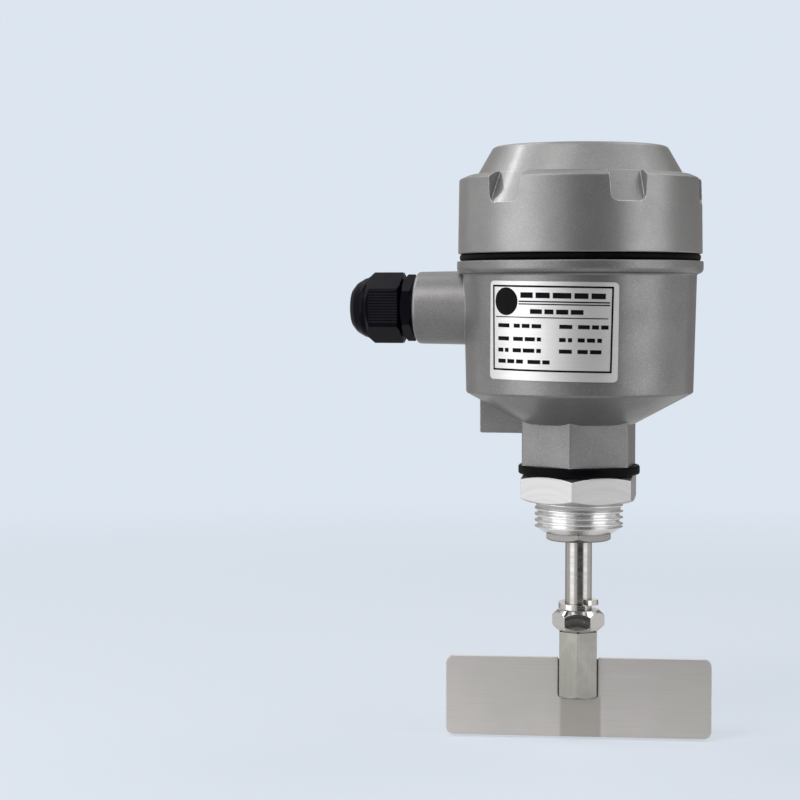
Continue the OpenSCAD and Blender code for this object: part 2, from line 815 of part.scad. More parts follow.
// Fillet welds that join the coupler's end to both faces of the blade
module weld_beads() {
    leg = 1.6;
    color([0.5, 0.48, 0.45])
    rotate(paddle_turn)
        for (side = [-1, 1])
            translate([-coupler_af / 2 + 1, 0, z_coupler - coupler_h])
                rotate([90, 0, 90])
                    linear_extrude(height = coupler_af - 2)
                        polygon([[side * blade_t / 2, 0], [side * (blade_t / 2 + leg), 0],
                            [side * (blade_t / 2 + leg * 0.45), -leg * 0.7],
                            [side * blade_t / 2, -leg]]);
}

// Slip clutch

module clutch_ring_teeth(z, up) {
    intersection() {
        ring(clutch_d / 2 - 4, clutch_d / 2, z - 1, clutch_tooth_h + 2);
        for (i = [0:clutch_teeth - 1])
            rotate(360 / clutch_teeth * (i + (up ? 0 : 0.5)))
                rotate([90, 0, 90])
                    linear_extrude(height = clutch_d / 2 + 1)
                        polygon(up ? [[-1.25, z - 0.5], [1.25, z - 0.5], [1.25, z],
                            [0.6, z + clutch_tooth_h], [-0.6, z + clutch_tooth_h], [-1.25, z]] :
                            [[-0.6, z], [0.6, z], [1.25, z + clutch_tooth_h],
                            [1.25, z + clutch_tooth_h + 0.5], [-1.25, z + clutch_tooth_h + 0.5],
                            [-1.25, z + clutch_tooth_h]]);
    }
}

module clutch_lower() {
    color([0.75, 0.66, 0.4])
    difference() {
        union() {
            disc(clutch_d / 2, z_clutch, clutch_hub_h);
            clutch_ring_teeth(z_teeth, true);
        }
        disc(shaft_d / 2 + 0.02, z_clutch - 1, z_shaft_top - z_clutch + 1);
        disc(motor_shaft_d / 2 + run_gap, z_clutch, 20);
        for (a = [0, 120, 240])
            rotate(a)
                translate([0, 0, z_clutch + 2.6])
                    rotate([0, 90, 0])
                        cylinder(r = 1.5, h = clutch_d);
    }
}

module clutch_screws() {
    color([0.25, 0.25, 0.25])
    for (a = [0, 120, 240])
        rotate(a)
            translate([shaft_d / 2 + 0.05, 0, z_clutch + 2.6])
                rotate([0, 90, 0])
                    difference() {
                        cylinder(r = 1.45, h = clutch_d / 2 - shaft_d / 2 - 0.3);
                        translate([0, 0, clutch_d / 2 - shaft_d / 2 - 1.8])
                            cylinder(r = 0.75, h = 3, $fn = 6);
                    }
}

module clutch_upper() {
    z0 = z_teeth + clutch_tooth_h + 0.2;
    color([0.75, 0.66, 0.4])
    difference() {
        union() {
            disc(clutch_d / 2, z0, 2.2);
            disc(clutch_d / 2 - 3.2, z0, clutch_upper_h);
            clutch_ring_teeth(z_teeth + 0.2, false);
        }
        disc(motor_shaft_d / 2 + run_gap, z0 - 5, clutch_upper_h + 10);
    }
}

module clutch_spring() {
    w = 0.8;
    color([0.6, 0.6, 0.6])
        translate([0, 0, z_spring_foot + w / 2])
            coil(motor_shaft_d / 2 + 1.2, w, z_retainer - z_spring_foot - w, 3, 18, 6);
}

module clutch_retainer() {
    color([0.3, 0.3, 0.3])
    difference() {
        disc(motor_shaft_d / 2 + 2.4, z_retainer, 1.2);
        disc(motor_shaft_d / 2 + 0.02, z_retainer - 1, 4);
    }
}

module motor_shaft() {
    color([0.7, 0.7, 0.7])
        disc(motor_shaft_d / 2, z_shaft_top - 2.6, z_motor + 5 - z_shaft_top);
}

// Base plate, pivot and swinging motor

module base_plate() {
    color([0.7, 0.68, 0.55])
    difference() {
        union() {
            disc(base_r, z_base, sheet_t);
            disc(pivot_r + 4, z_deck - eps, z_swing - z_deck - 1.5 + eps);
            disc(pivot_r, z_deck - eps, z_motor - z_deck - 0.3);
            at_polar(spring_fixed_r, spring_fixed_turn)
                disc(1.5, z_deck - eps, 5.6);
        }
        disc(pivot_bore_r, z_base - 1, 30);
        for (a = screw_turns)
            at_polar(screw_r, a)
                disc(screw_d / 2 + 0.2, z_base - 1, sheet_t + 2);
        for (a = standoff_turns)
            at_polar(standoff_r, a)
                disc(screw_d / 2, z_base - 1, sheet_t + 2);
        for (a = [signal_turn, cutoff_turn])
            switch_frame(a)
                for (x = [3.15, 9.65])
                    translate([x, 3.4, z_base - 1])
                        cylinder(r = switch_screw_d / 2 + 0.05, h = sheet_t + 2, $fn = 24);
        intersection() {
            translate([-2 * base_r, -9, z_base - 1])
                cube([base_r * 1.24, 18, sheet_t + 2]);
            ring(base_r - 4, 2 * base_r, z_base - 1, sheet_t + 2);
        }
    }
}

module base_screws() {
    color([0.72, 0.72, 0.7])
    for (a = screw_turns)
        at_polar(screw_r, a, z_deck)
            pan_screw(screw_d, 2 * screw_d);
}

module pivot_bush() {
    color([0.92, 0.91, 0.86])
    difference() {
        union() {
            disc(pivot_r + 2.6, z_swing, sheet_t);
            disc(pivot_r + 4, z_swing - 1.5, 1.5);
        }
        disc(pivot_r + run_gap, z_swing - 3, 10);
    }
}

module swing_plate() {
    ear = ear_r;
    color([0.7, 0.68, 0.55])
    difference() {
        union() {
            disc(swing_r, z_swing, sheet_t);
            for (a = [motor_ear_turn, motor_ear_turn + 180])
                rotate(a) {
                    translate([swing_r - 6, -4, z_swing])
                        cube([ear - swing_r + 6, 8, sheet_t]);
                    translate([ear, 0, z_swing - 2])
                        cylinder(r = 4, h = sheet_t + 2);
                }
            for (a = [signal_turn, cutoff_turn])
                at_polar(press_r, a)
                    disc(post_d / 2, z_deck + 0.6, z_swing - z_deck);
            at_polar(spring_moving_r, spring_moving_turn)
                disc(post_d / 2, z_deck + 0.6, z_swing - z_deck);
        }
        disc(pivot_r + 2.6 + 0.02, z_swing - 3, 10);
        for (a = [motor_ear_turn, motor_ear_turn + 180])
            at_polar(ear, a)
                disc(screw_d / 2 + fit_gap, z_swing - 3, 10);
    }
}

module gearbox() {
    ear = ear_r;
    color([0.72, 0.72, 0.7])
    difference() {
        union() {
            rotate_extrude()
                polygon(rounded([[0, z_motor, 0], [motor_r, z_motor, 0.6],
                    [motor_r, z_can, 0.6], [0, z_can, 0]], 3));
            for (a = [motor_ear_turn, motor_ear_turn + 180])
                rotate(a) {
                    translate([motor_r - 5, -4, z_motor])
                        cube([ear - motor_r + 5, 8, 1.2]);
                    translate([ear, 0, z_motor])
                        cylinder(r = 4, h = 1.2);
                }
            disc(5.5, z_motor - 1.6, 2);
        }
        disc(motor_shaft_d / 2 + run_gap, z_motor - 3, 8.6);
        for (a = [motor_ear_turn, motor_ear_turn + 180])
            at_polar(ear, a)
                disc(screw_d / 2 + 0.2, z_motor - 1, 6);
    }
}

module motor_can() {
    color([0.6, 0.6, 0.6])
    rotate_extrude()
        polygon(rounded([[0, z_can, 0], [motor_r + 0.8, z_can, 0], [motor_r + 0.8, z_can + 1, 0],
            [motor_r - 0.6, z_can + 1.4, 0], [motor_r - 0.6, z_can + can_h, 2],
            [8, z_can + can_h, 0], [7, z_can + can_h - 1, 0], [0, z_can + can_h - 1, 0]], 4));
}

module motor_screws() {
    color([0.72, 0.72, 0.7])
    for (a = [motor_ear_turn, motor_ear_turn + 180])
        at_polar(ear_r, a, z_motor + 1.2)
            pan_screw(screw_d, sheet_t + 2.6);
}

module motor_tags() {
    color([0.8, 0.7, 0.35])
    for (x = [-5, 0, 5])
        rotate(90)
            translate([x - 1, -motor_r + 4.5, z_can + can_h])
                cube([2, 0.8, 5]);
}

function on_circle(r, a) = [r * cos(a), r * sin(a)];
spring_a = on_circle(spring_fixed_r, spring_fixed_turn);
spring_b = on_circle(spring_moving_r, spring_moving_turn);
spring_dir = unit(spring_b - spring_a);
spring_len = norm(spring_b - spring_a);
spring_z = z_deck + 3.4;

// Tension spring with an eye round each post
module return_spring() {
    r = 1.9;
    w = 0.7;
    eye = post_d / 2 + 0.35;
    body = spring_len - 2 * (eye + w + 0.6);
    color([0.62, 0.62, 0.62])
    translate([spring_a[0], spring_a[1], spring_z])
        rotate(atan2(spring_dir[1], spring_dir[0])) {
            translate([eye + w + 0.6, 0, 0])
                rotate([0, 90, 0])
                    coil(r, w, body, 9, 12, 6);
            for (x = [0, spring_len])
                translate([x, 0, -w / 2])
                    difference() {
                        cylinder(r = eye + w, h = w, $fn = 32);
                        translate([0, 0, -1])
                            cylinder(r = eye, h = w + 2, $fn = 32);
                    }
            for (x = [eye + w / 2, spring_len - eye - w - 0.6 - w / 2])
                translate([x, -w / 2, -r - w / 2])
                    cube([w + 0.6, w, r + w]);
        }
}

// Grooved collar that keeps the spring's eye on its fixed post
module spring_post() {
    color([0.72, 0.72, 0.7])
    at_polar(spring_fixed_r, spring_fixed_turn)
        ring(1.5 + 0.02, 2.4, spring_z - 3.4 + 5.6 - 1.2, 1.2);
}

// Standoffs and terminals

module standoffs() {
    color([0.75, 0.7, 0.5])
    for (a = standoff_turns)
        at_polar(standoff_r, a) {
            hexagon(standoff_af, z_deck, z_terminal - z_deck, 0, 0);
            disc(screw_d / 2 - fit_gap, z_base + 0.2, sheet_t);
        }
}

module terminal_plate() {
    color([0.35, 0.22, 0.12])
    difference() {
        disc(terminal_r, z_terminal, sheet_t);
        for (a = standoff_turns)
            at_polar(standoff_r, a)
                disc(screw_d / 2 + 0.2, z_terminal - 1, sheet_t + 2);
        translate([-2 * terminal_r, -16, z_terminal - 1])
            cube([2 * terminal_r - 22, 32, sheet_t + 2]);
    }
}

block_l = poles * pole_pitch + 3;
block_w = 16;
block_h = 11;

module terminal_block() {
    color([0.1, 0.1, 0.1])
    difference() {
        translate([-block_w / 2, -block_l / 2, z_block])
            rotate([90, 0, 0])
                translate([0, 0, -block_l])
                    linear_extrude(height = block_l)
                        polygon([[0, 0], [block_w, 0], [block_w, block_h * 0.7],
                            [block_w - 3.5, block_h], [3.5, block_h], [0, block_h * 0.7]]);
        for (i = [0:poles - 1])
            translate([0, (i - (poles - 1) / 2) * pole_pitch, z_block]) {
                for (x = [-block_w / 2 + 5, block_w / 2 - 5])
                    translate([x, 0, block_h - 5])
                        cylinder(r = 2.1, h = 10, $fn = 32);
                translate([-block_w, -1.8, 1.5])
                    cube([block_w - 3.6, 3.6, 3.4]);
                translate([3.6, -1.8, 1.5])
                    cube([block_w, 3.6, 3.4]);
            }
    }
}

module terminal_screws() {
    color([0.75, 0.75, 0.72])
    for (i = [0:poles - 1])
        for (x = [-block_w / 2 + 5, block_w / 2 - 5])
            translate([x, (i - (poles - 1) / 2) * pole_pitch, z_block + block_h - 5])
                difference() {
                    cylinder(r = 1.9, h = 2.4, $fn = 32);
                    translate([-3, -0.35, 1.4])
                        cube([6, 0.7, 2]);
                }
}

module terminal_plate_screws() {
    color([0.72, 0.72, 0.7])
    for (a = standoff_turns)
        at_polar(standoff_r, a, z_block)
            pan_screw(screw_d, sheet_t - 0.2, 1.73);
}

// Microswitches: the pivot is at the outer end, the lever reaches inward over the button

// Frame at a lever's pivot: x runs inward, y runs the way the pressing post moves
module lever_frame(turn) {
    rotate(turn)
        translate([lever_pivot_r, post_d / 2 + free_gap + lever_t / 2, 0])
            mirror([1, 0, 0])
                children();
}

// Frame of the switch body, parallel to the lever when it is fully pressed
module switch_frame(turn) {
    lever_frame(turn)
        rotate(lever_max)
            translate([-1.2, lever_t / 2 + lever_gap, 0])
                children();
}

module switch_body(turn) {
    difference() {
        switch_frame(turn)
            translate([0, 0, z_deck]) {
                cube([switch_l, switch_w, switch_h]);
                translate([0.4, -0.5, switch_h / 2 - 1.6])
                    cube([1.6, 1, 3.2]);
            }
        switch_frame(turn)
            for (x = [3.15, 9.65])
                translate([x, 3.4, z_deck - 1])
                    cylinder(r = switch_screw_d / 2 + 0.05, h = switch_h + 2, $fn = 24);
        switch_frame(turn)
            translate([button_at + 1.2, -1, z_deck + switch_h / 2])
                rotate([-90, 0, 0])
                    cylinder(d = button_d + 2 * 0.25, h = 3.2, $fn = 32);
        lever_frame(turn)
            translate([0, 0, z_deck])
                cylinder(r = 1.15, h = switch_h + 1, $fn = 32);
    }
}

module switch_lever(turn) {
    zc = z_deck + switch_h / 2;
    lever_frame(turn) {
        translate([0, -lever_t / 2, zc - 1.6])
            cube([lever_l, lever_t, 3.2]);
        translate([0, 0, zc - 1.6])
            cylinder(r = 0.8, h = 3.2, $fn = 32);
    }
}

module switch_button(turn) {
    lift = lever_gap - free_gap + button_at * tan(lever_max) - 0.06;
    switch_frame(turn)
        translate([button_at + 1.2, 0, z_deck + switch_h / 2])
            rotate([-90, 0, 0])
                translate([0, 0, -lift])
                    rotate_extrude($fn = 32)
                        polygon([[0, 0], [button_d / 2 - 0.5, 0], [button_d / 2, 0.3],
                            [button_d / 2, lift + 0.9], [0, lift + 0.9]]);
}

module signal_switch() {
    color([0.12, 0.12, 0.13])
        switch_body(signal_turn);
}

module cutoff_switch() {
    color([0.12, 0.12, 0.13])
        switch_body(cutoff_turn);
}

module signal_lever() {
    color([0.75, 0.75, 0.72])
        switch_lever(signal_turn);
}

module cutoff_lever() {
    color([0.75, 0.75, 0.72])
        switch_lever(cutoff_turn);
}

module signal_button() {
    color([0.7, 0.1, 0.1])
        switch_button(signal_turn);
}

module cutoff_button() {
    color([0.7, 0.1, 0.1])
        switch_button(cutoff_turn);
}

module switch_screws() {
    color([0.72, 0.72, 0.7])
    for (a = [signal_turn, cutoff_turn])
        switch_frame(a)
            for (x = [3.15, 9.65])
                translate([x, 3.4, z_deck + switch_h])
                    pan_screw(switch_screw_d, switch_h + 1.6, 1.78);
}

module switch_tags() {
    color([0.8, 0.7, 0.35])
    for (a = [signal_turn, cutoff_turn])
        switch_frame(a)
            for (x = [1.2, 6.1, 10.8])
                translate([x, switch_w, z_deck + switch_h / 2 - 0.8])
                    cube([0.6, 2.6, 1.6]);
}

module earth_screw_inner() {
    color([0.75, 0.72, 0.5])
        at_polar(earth_r, earth_turn, z_flange - 5)
            union() {
                ring(earth_screw_d / 2 + 0.1, earth_screw_d * 0.85, 0, 0.8);
                translate([0, 0, 0.8])
                    pan_screw(earth_screw_d, 7, 1.6);
            }
}

module earth_screw_outer() {
    color([0.72, 0.7, 0.6])
        translate([-lug_reach + 5.5, lug_t / 2, z_cone - lug_foot + 5])
            rotate([-90, 0, 0])
                union() {
                    ring(earth_screw_d / 2, earth_screw_d, 0, 1);
                    translate([0, 0, 1])
                        pan_screw(earth_screw_d, lug_t - 0.5, 1.8);
                }
}

// Cable gland, built along +Z from the boss face and laid along -X
module on_boss() {
    translate([-conduit_reach, 0, conduit_z])
        rotate([0, -90, 0])
            children();
}

gland_collar = gland_seal_t + gland_body_h;
gland_nut_z = gland_collar + free_gap;
gland_tube_d = gland_dome_d - 3.4;
gland_tube_z = gland_nut_z + gland_nut_h - 0.9;
gland_chamfer = 1.7;
insert_z = gland_nut_z + 3;

module gland_gasket() {
    color([0.05, 0.05, 0.05])
        on_boss()
            ring(gland_thread_d / 2 + 0.1, gland_body_af / 2 + 0.8, 0, gland_seal_t);
}

module gland_body() {
    color([0.04, 0.04, 0.05])
    on_boss()
        difference() {
            union() {
                hexagon(gland_body_af, gland_seal_t, gland_body_h, 0, 1);
                disc(gland_thread_d / 2 - fit_gap, -gland_thread_l, gland_thread_l + gland_seal_t + eps);
                disc(gland_tube_d / 2, gland_collar - eps, gland_tube_z - gland_collar);
            }
            disc(cable_d / 2 + 2.2, -gland_thread_l - 1, 60);
            disc(cable_d / 2 + 2.8, insert_z, 60);
        }
}

module gland_insert() {
    r1 = cable_d / 2 + 2.75;
    z1 = gland_nut_z + gland_nut_h + gland_chamfer - 0.6;
    color([0.1, 0.1, 0.1])
    on_boss()
        rotate_extrude()
            polygon([[cable_d / 2, insert_z + 0.05], [r1, insert_z + 0.05], [r1, gland_tube_z],
                [cable_d / 2 + 1.5, z1], [cable_d / 2, z1]]);
}

module gland_nut() {
    r = gland_nut_ac / 2;
    z1 = gland_nut_z + gland_nut_h;
    z2 = z1 + gland_chamfer;
    z3 = z2 + gland_dome_h;
    rd = gland_dome_d / 2;
    color([0.03, 0.03, 0.05])
    on_boss()
        difference() {
            union() {
                intersection() {
                    translate([0, 0, gland_nut_z])
                        cylinder(r = r + 0.3, h = z2 - gland_nut_z, $fn = 6);
                    rotate_extrude()
                        polygon([[0, gland_nut_z], [r - 0.8, gland_nut_z], [r, gland_nut_z + 0.6],
                            [r, z1], [rd + 0.2, z2], [0, z2]]);
                }
                rotate_extrude()
                    polygon(rounded([[0, z2 - 0.5, 0], [rd, z2 - 0.5, 0], [rd, z2 + 1.4, 3],
                        [rd - 1.9, z3 - 1.9, 3], [cable_d / 2 + 2.2, z3, 0.6], [0, z3, 0]], 6));
            }
            rotate_extrude()
                polygon([[0, gland_nut_z - 1], [gland_tube_d / 2 + 0.3, gland_nut_z - 1],
                    [gland_tube_d / 2 + 0.3, gland_tube_z + 0.4],
                    [cable_d / 2 + 2, z2 - 0.25], [cable_d / 2 + 0.6, z2 - 0.25],
                    [cable_d / 2 + 0.6, z3 - 0.8], [cable_d / 2 + 1.4, z3 + 0.1], [0, z3 + 0.1]]);
        }
}

housing();
lid();
lid_oring();
data_plate();
neck_gasket();
adapter();
packing_nut();
shaft_seal();
bearing_outer_rings();
bearing_spacer();
bearing_circlip();
balls_lower();
balls_upper();
bearing_inner_rings();
shaft_circlips();
shaft();
spring_washer();
jam_nut();
coupler();
blade();
weld_beads();
clutch_lower();
clutch_screws();
clutch_upper();
clutch_spring();
clutch_retainer();
motor_shaft();
base_plate();
base_screws();
pivot_bush();
swing_plate();
gearbox();
motor_can();
motor_screws();
motor_tags();
return_spring();
spring_post();
standoffs();
terminal_plate();
terminal_block();
terminal_screws();
terminal_plate_screws();
signal_switch();
signal_lever();
signal_button();
cutoff_switch();
cutoff_lever();
cutoff_button();
switch_screws();
switch_tags();
earth_screw_inner();
earth_screw_outer();
gland_gasket();
gland_body();
gland_insert();
gland_nut();
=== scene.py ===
"""Looks of a rotary paddle level switch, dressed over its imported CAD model."""

import logging
import math
import random
from contextlib import contextmanager
from dataclasses import dataclass, field
from enum import Enum
from typing import Any, Iterator, Optional, Sequence, Union

import bmesh
import bpy
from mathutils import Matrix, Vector


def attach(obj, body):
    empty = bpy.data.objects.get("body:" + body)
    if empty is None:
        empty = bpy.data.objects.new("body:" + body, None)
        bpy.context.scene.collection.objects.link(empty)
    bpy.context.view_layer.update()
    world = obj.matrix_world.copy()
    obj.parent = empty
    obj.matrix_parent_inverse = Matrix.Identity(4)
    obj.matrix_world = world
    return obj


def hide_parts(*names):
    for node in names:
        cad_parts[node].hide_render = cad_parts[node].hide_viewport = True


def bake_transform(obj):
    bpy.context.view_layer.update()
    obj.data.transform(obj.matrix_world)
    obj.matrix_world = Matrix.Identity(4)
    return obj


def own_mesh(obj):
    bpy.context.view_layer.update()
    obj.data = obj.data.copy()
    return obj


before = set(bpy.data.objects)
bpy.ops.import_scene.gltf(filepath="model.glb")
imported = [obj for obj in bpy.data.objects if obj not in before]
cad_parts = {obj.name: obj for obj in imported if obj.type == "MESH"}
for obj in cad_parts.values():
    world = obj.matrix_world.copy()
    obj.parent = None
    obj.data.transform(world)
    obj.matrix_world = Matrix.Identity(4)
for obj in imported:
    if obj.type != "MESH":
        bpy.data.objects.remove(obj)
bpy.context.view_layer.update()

MM = 0.001
LOG = logging.getLogger("paddle_switch")
Color = tuple[float, float, float]
Point = tuple[float, float, float]
Key = Union[int, str]
Value = Union[float, Sequence[float], "Out"]


def shade(color: Color, level: float) -> Color:
    """Return a colour with each channel multiplied by a level."""
    return tuple(level * channel for channel in color)


class Out:
    """A node's output, which arithmetic turns into Math nodes."""

    def __init__(self, graph: "Graph", socket: bpy.types.NodeSocket) -> None:
        """Keep the output and the graph that it belongs to."""
        self.graph, self.socket = graph, socket

    def __add__(self, other: Value) -> "Out":
        """Return the sum."""
        return self.graph.math("ADD", self, other)

    def __sub__(self, other: Value) -> "Out":
        """Return the difference."""
        return self.graph.math("SUBTRACT", self, other)

    def __mul__(self, other: Value) -> "Out":
        """Return the product."""
        return self.graph.math("MULTIPLY", self, other)

    def __truediv__(self, other: Value) -> "Out":
        """Return the quotient."""
        return self.graph.math("DIVIDE", self, other)


class Step:
    """A node, whose outputs are read and whose inputs are set by name or number."""

    def __init__(self, graph: "Graph", node: bpy.types.Node) -> None:
        """Keep the node and its graph."""
        self.graph, self.node = graph, node

    def __getitem__(self, key: Key) -> Out:
        """Return an output."""
        return Out(self.graph, self.node.outputs[key])

    def __setitem__(self, key: Key, value: Value) -> None:
        """Link an input to an output, or set the input's own value.

        Args:
            key: The input's name or number.
            value: An output, a number, a vector, or a colour without its opacity.
        """
        socket = self.node.inputs[key]
        if isinstance(value, Out):
            self.graph.tree.links.new(value.socket, socket)
        else:
            socket.default_value = (*value, 1.0) if socket.type == "RGBA" else value


class Graph:
    """Adds and links nodes in one node tree."""

    def __init__(self, tree: bpy.types.NodeTree) -> None:
        """Keep the tree that the nodes go into."""
        self.tree = tree

    def socket(self, label: str, side: str, kind: str, default: Optional[float] = None) -> str:
        """Add a socket to the tree's own interface.

        Args:
            label: Its name.
            side: INPUT or OUTPUT.
            kind: Float, Vector or Geometry.
            default: Its value when nothing sets it.

        Returns:
            The socket's identifier.
        """
        socket = self.tree.interface.new_socket(name=label, in_out=side,
                                                socket_type=f"NodeSocket{kind}")
        if default is not None:
            socket.default_value = default
        return socket.identifier

    def add(self, kind: str, values: Optional[dict[Key, Value]] = None,
            **settings: Any) -> Step:
        """Add a node.

        Args:
            kind: Blender's name for the node type.
            values: What each input gets, by the input's name or number.
            **settings: Properties set on the node before its inputs.

        Returns:
            The new node.
        """
        step = Step(self, self.tree.nodes.new(kind))
        for name, setting in settings.items():
            setattr(step.node, name, setting)
        for key, value in (values or {}).items():
            step[key] = value
        return step

    def math(self, operation: str, *values: Value) -> Out:
        """Add a Math node of one to three values and return its output."""
        return self.add("ShaderNodeMath", dict(enumerate(values)), operation=operation)[0]

    def clamp(self, value: Value) -> Out:
        """Hold a value between 0 and 1."""
        return self.add("ShaderNodeClamp", {0: value})[0]

    def remap(self, value: Value, lo: float, hi: float, to_lo: Value = 0.0,
              to_hi: Value = 1.0) -> Out:
        """Map a range of values onto another, smoothly and held at its ends.

        Args:
            value: The value to map.
            lo: Value that gives to_lo.
            hi: Value that gives to_hi.
            to_lo: Result at lo.
            to_hi: Result at hi.

        Returns:
            The result.
        """
        return self.add("ShaderNodeMapRange", {0: value, 1: lo, 2: hi, 3: to_lo, 4: to_hi},
                        interpolation_type="SMOOTHSTEP")[0]

    def mix(self, share: Value, a: Value, b: Value) -> Out:
        """Mix two colours: a where the share is 0, b where it is 1."""
        return self.add("ShaderNodeMix", {0: share, 6: a, 7: b}, data_type="RGBA")[2]

    def noise(self, vector: Value, scale: Value, detail: float = 2.0,
              roughness: float = 0.5) -> Out:
        """Add a noise texture and return its value."""
        return self.add("ShaderNodeTexNoise", {"Vector": vector, "Scale": scale,
                                               "Detail": detail, "Roughness": roughness})[0]

    def lay(self, vector: Value, turn: Point, shift: Point = (0, 0, 0)) -> Out:
        """Turn and shift coordinates and return them."""
        return self.add("ShaderNodeMapping", {"Vector": vector, "Rotation": turn,
                                              "Location": shift})[0]

    def split(self, vector: Value) -> list[Out]:
        """Return the X, Y and Z of a vector."""
        step = self.add("ShaderNodeSeparateXYZ", {0: vector})
        return [step[axis] for axis in range(3)]

    def join(self, x: Value, y: Value, z: Value) -> Out:
        """Return a vector made of three values."""
        return self.add("ShaderNodeCombineXYZ", {0: x, 1: y, 2: z})[0]

    def reach(self, x: Out, y: Out) -> Out:
        """Return the distance of a point in a plane from its origin."""
        return self.math("SQRT", x * x + y * y)


def new_shader(name: str) -> tuple[bpy.types.Material, Graph, Step]:
    """Make a material with one Principled shader.

    Args:
        name: Name of the material.

    Returns:
        The material, its graph and its shader.
    """
    material = bpy.data.materials.new(name)
    material.use_nodes = True
    graph = Graph(material.node_tree)
    return material, graph, Step(graph, material.node_tree.nodes["Principled BSDF"])


class Effect(Enum):
    """Shared effects, each built once as a shader node group."""

    EDGES = "rounded_edges"
    CAST = "cast_skin"
    TURNED = "turned_lines"
    BRUSHED = "brushed_lines"
    CLOUDS = "soft_clouds"
    GRAIN = "moulded_grain"
    DUST = "settled_dust"


class EffectLibrary:
    """Builds each shared effect's node group the first time it is asked for."""

    SOCKETS: dict[Effect, tuple[dict[str, float], tuple[str, ...]]] = {
        Effect.EDGES: ({"Radius": 0.3 * MM, "Break-up": 400.0}, ("Mask", "Normal")),
        Effect.CAST: ({"Peel Scale": 900.0, "Flake Scale": 3600.0},
                      ("Height", "Flakes", "Blotch")),
        Effect.TURNED: ({"Line Scale": 5000.0, "Wander": 0.004}, ("Lines", "Bands")),
        Effect.BRUSHED: ({"Line Scale": 3000.0, "Length": 0.012}, ("Lines", "Scratches")),
        Effect.CLOUDS: ({"Cloud Scale": 70.0, "Speck Scale": 900.0}, ("Clouds", "Specks")),
        Effect.GRAIN: ({"Grain Scale": 2500.0}, ("Height", "Flow")),
        Effect.DUST: ({"Depth": 4.0 * MM}, ("Mask",)),
    }

    def __init__(self) -> None:
        """Start with no groups."""
        self.groups: dict[Effect, bpy.types.NodeTree] = {}

    def group(self, effect: Effect) -> bpy.types.NodeTree:
        """Return an effect's node group, made on first use.

        Args:
            effect: Which effect.

        Returns:
            The group.
        """
        if effect not in self.groups:
            inputs, outputs = self.SOCKETS[effect]
            graph = Graph(bpy.data.node_groups.new(effect.value, "ShaderNodeTree"))
            graph.socket("Vector", "INPUT", "Vector")
            for label, default in inputs.items():
                graph.socket(label, "INPUT", "Float", default)
            for label in outputs:
                graph.socket(label, "OUTPUT", "Vector" if label == "Normal" else "Float")
            getattr(self, f"_{effect.value}")(graph, graph.add("NodeGroupInput"),
                                              graph.add("NodeGroupOutput"))
            self.groups[effect] = graph.tree
        return self.groups[effect]

    def place(self, graph: Graph, effect: Effect, vector: Value,
              values: Optional[dict[str, float]] = None) -> Step:
        """Put an effect's group into a material, with its own numbers, and return its node."""
        return graph.add("ShaderNodeGroup", {"Vector": vector, **(values or {})},
                         node_tree=self.group(effect))

    @staticmethod
    def _rounded_edges(graph: Graph, source: Step, out: Step) -> None:
        """Rounded normals along edges, and a mask of the edge, which takes wear and a painted
        highlight.

        Args:
            graph: The group's graph.
            source: The group's inputs.
            out: The group's outputs.
        """
        bevel = graph.add("ShaderNodeBevel", {"Radius": source["Radius"]}, samples=6)
        plain = graph.add("ShaderNodeNewGeometry")
        dot = graph.add("ShaderNodeVectorMath", {0: bevel[0], 1: plain["Normal"]},
                        operation="DOT_PRODUCT")["Value"]
        broken = graph.noise(source["Vector"], source["Break-up"], 3.0, 0.6)
        out["Mask"] = graph.remap(dot, 0.997, 0.90) * graph.remap(broken, 0.35, 0.65, 0.35, 1.0)
        out["Normal"] = bevel[0]

    @staticmethod
    def _cast_skin(graph: Graph, source: Step, out: Step) -> None:
        """Powder paint on a casting: orange peel, soft blotches and metal flakes.

        Args:
            graph: The group's graph.
            source: The group's inputs.
            out: The group's outputs.
        """
        vector, flakes = source["Vector"], source["Flake Scale"]
        peel = graph.noise(vector, source["Peel Scale"], 2.0, 0.45)
        cells = graph.add("ShaderNodeTexVoronoi", {"Vector": vector, "Scale": flakes})
        out["Height"] = graph.noise(vector, flakes, 1.0, 0.5) * 0.35 + peel
        out["Flakes"] = graph.remap(graph.split(cells["Color"])[0], 0.62, 0.98)
        out["Blotch"] = graph.noise(vector, 60.0, 3.0, 0.55)

    @staticmethod
    def _turned_lines(graph: Graph, source: Step, out: Step) -> None:
        """Fine lines left by a lathe round the Z axis of the coordinates.

        Args:
            graph: The group's graph.
            source: The group's inputs.
            out: The group's outputs.
        """
        x, y, z = graph.split(source["Vector"])
        wander = source["Wander"]
        along = graph.join(x * wander, y * wander, z + graph.reach(x, y))
        out["Lines"] = graph.noise(along, source["Line Scale"], 2.0, 0.7)
        out["Bands"] = graph.noise(along, 420.0)

    @staticmethod
    def _brushed_lines(graph: Graph, source: Step, out: Step) -> None:
        """Long fine scratches along the X axis of the coordinates.

        Args:
            graph: The group's graph.
            source: The group's inputs.
            out: The group's outputs.
        """
        x, y, z = graph.split(source["Vector"])
        drawn = graph.join(x * source["Length"], y, z)
        out["Lines"] = graph.noise(drawn, source["Line Scale"], 3.0, 0.6)
        out["Scratches"] = graph.remap(graph.noise(drawn, 900.0, 1.0), 0.68, 0.76)

    @staticmethod
    def _soft_clouds(graph: Graph, source: Step, out: Step) -> None:
        """Cloudy handling marks and stains.

        Args:
            graph: The group's graph.
            source: The group's inputs.
            out: The group's outputs.
        """
        out["Clouds"] = graph.noise(source["Vector"], source["Cloud Scale"], 3.0)
        specks = graph.noise(source["Vector"], source["Speck Scale"], 2.0, 0.7)
        out["Specks"] = graph.remap(specks, 0.66, 0.74)

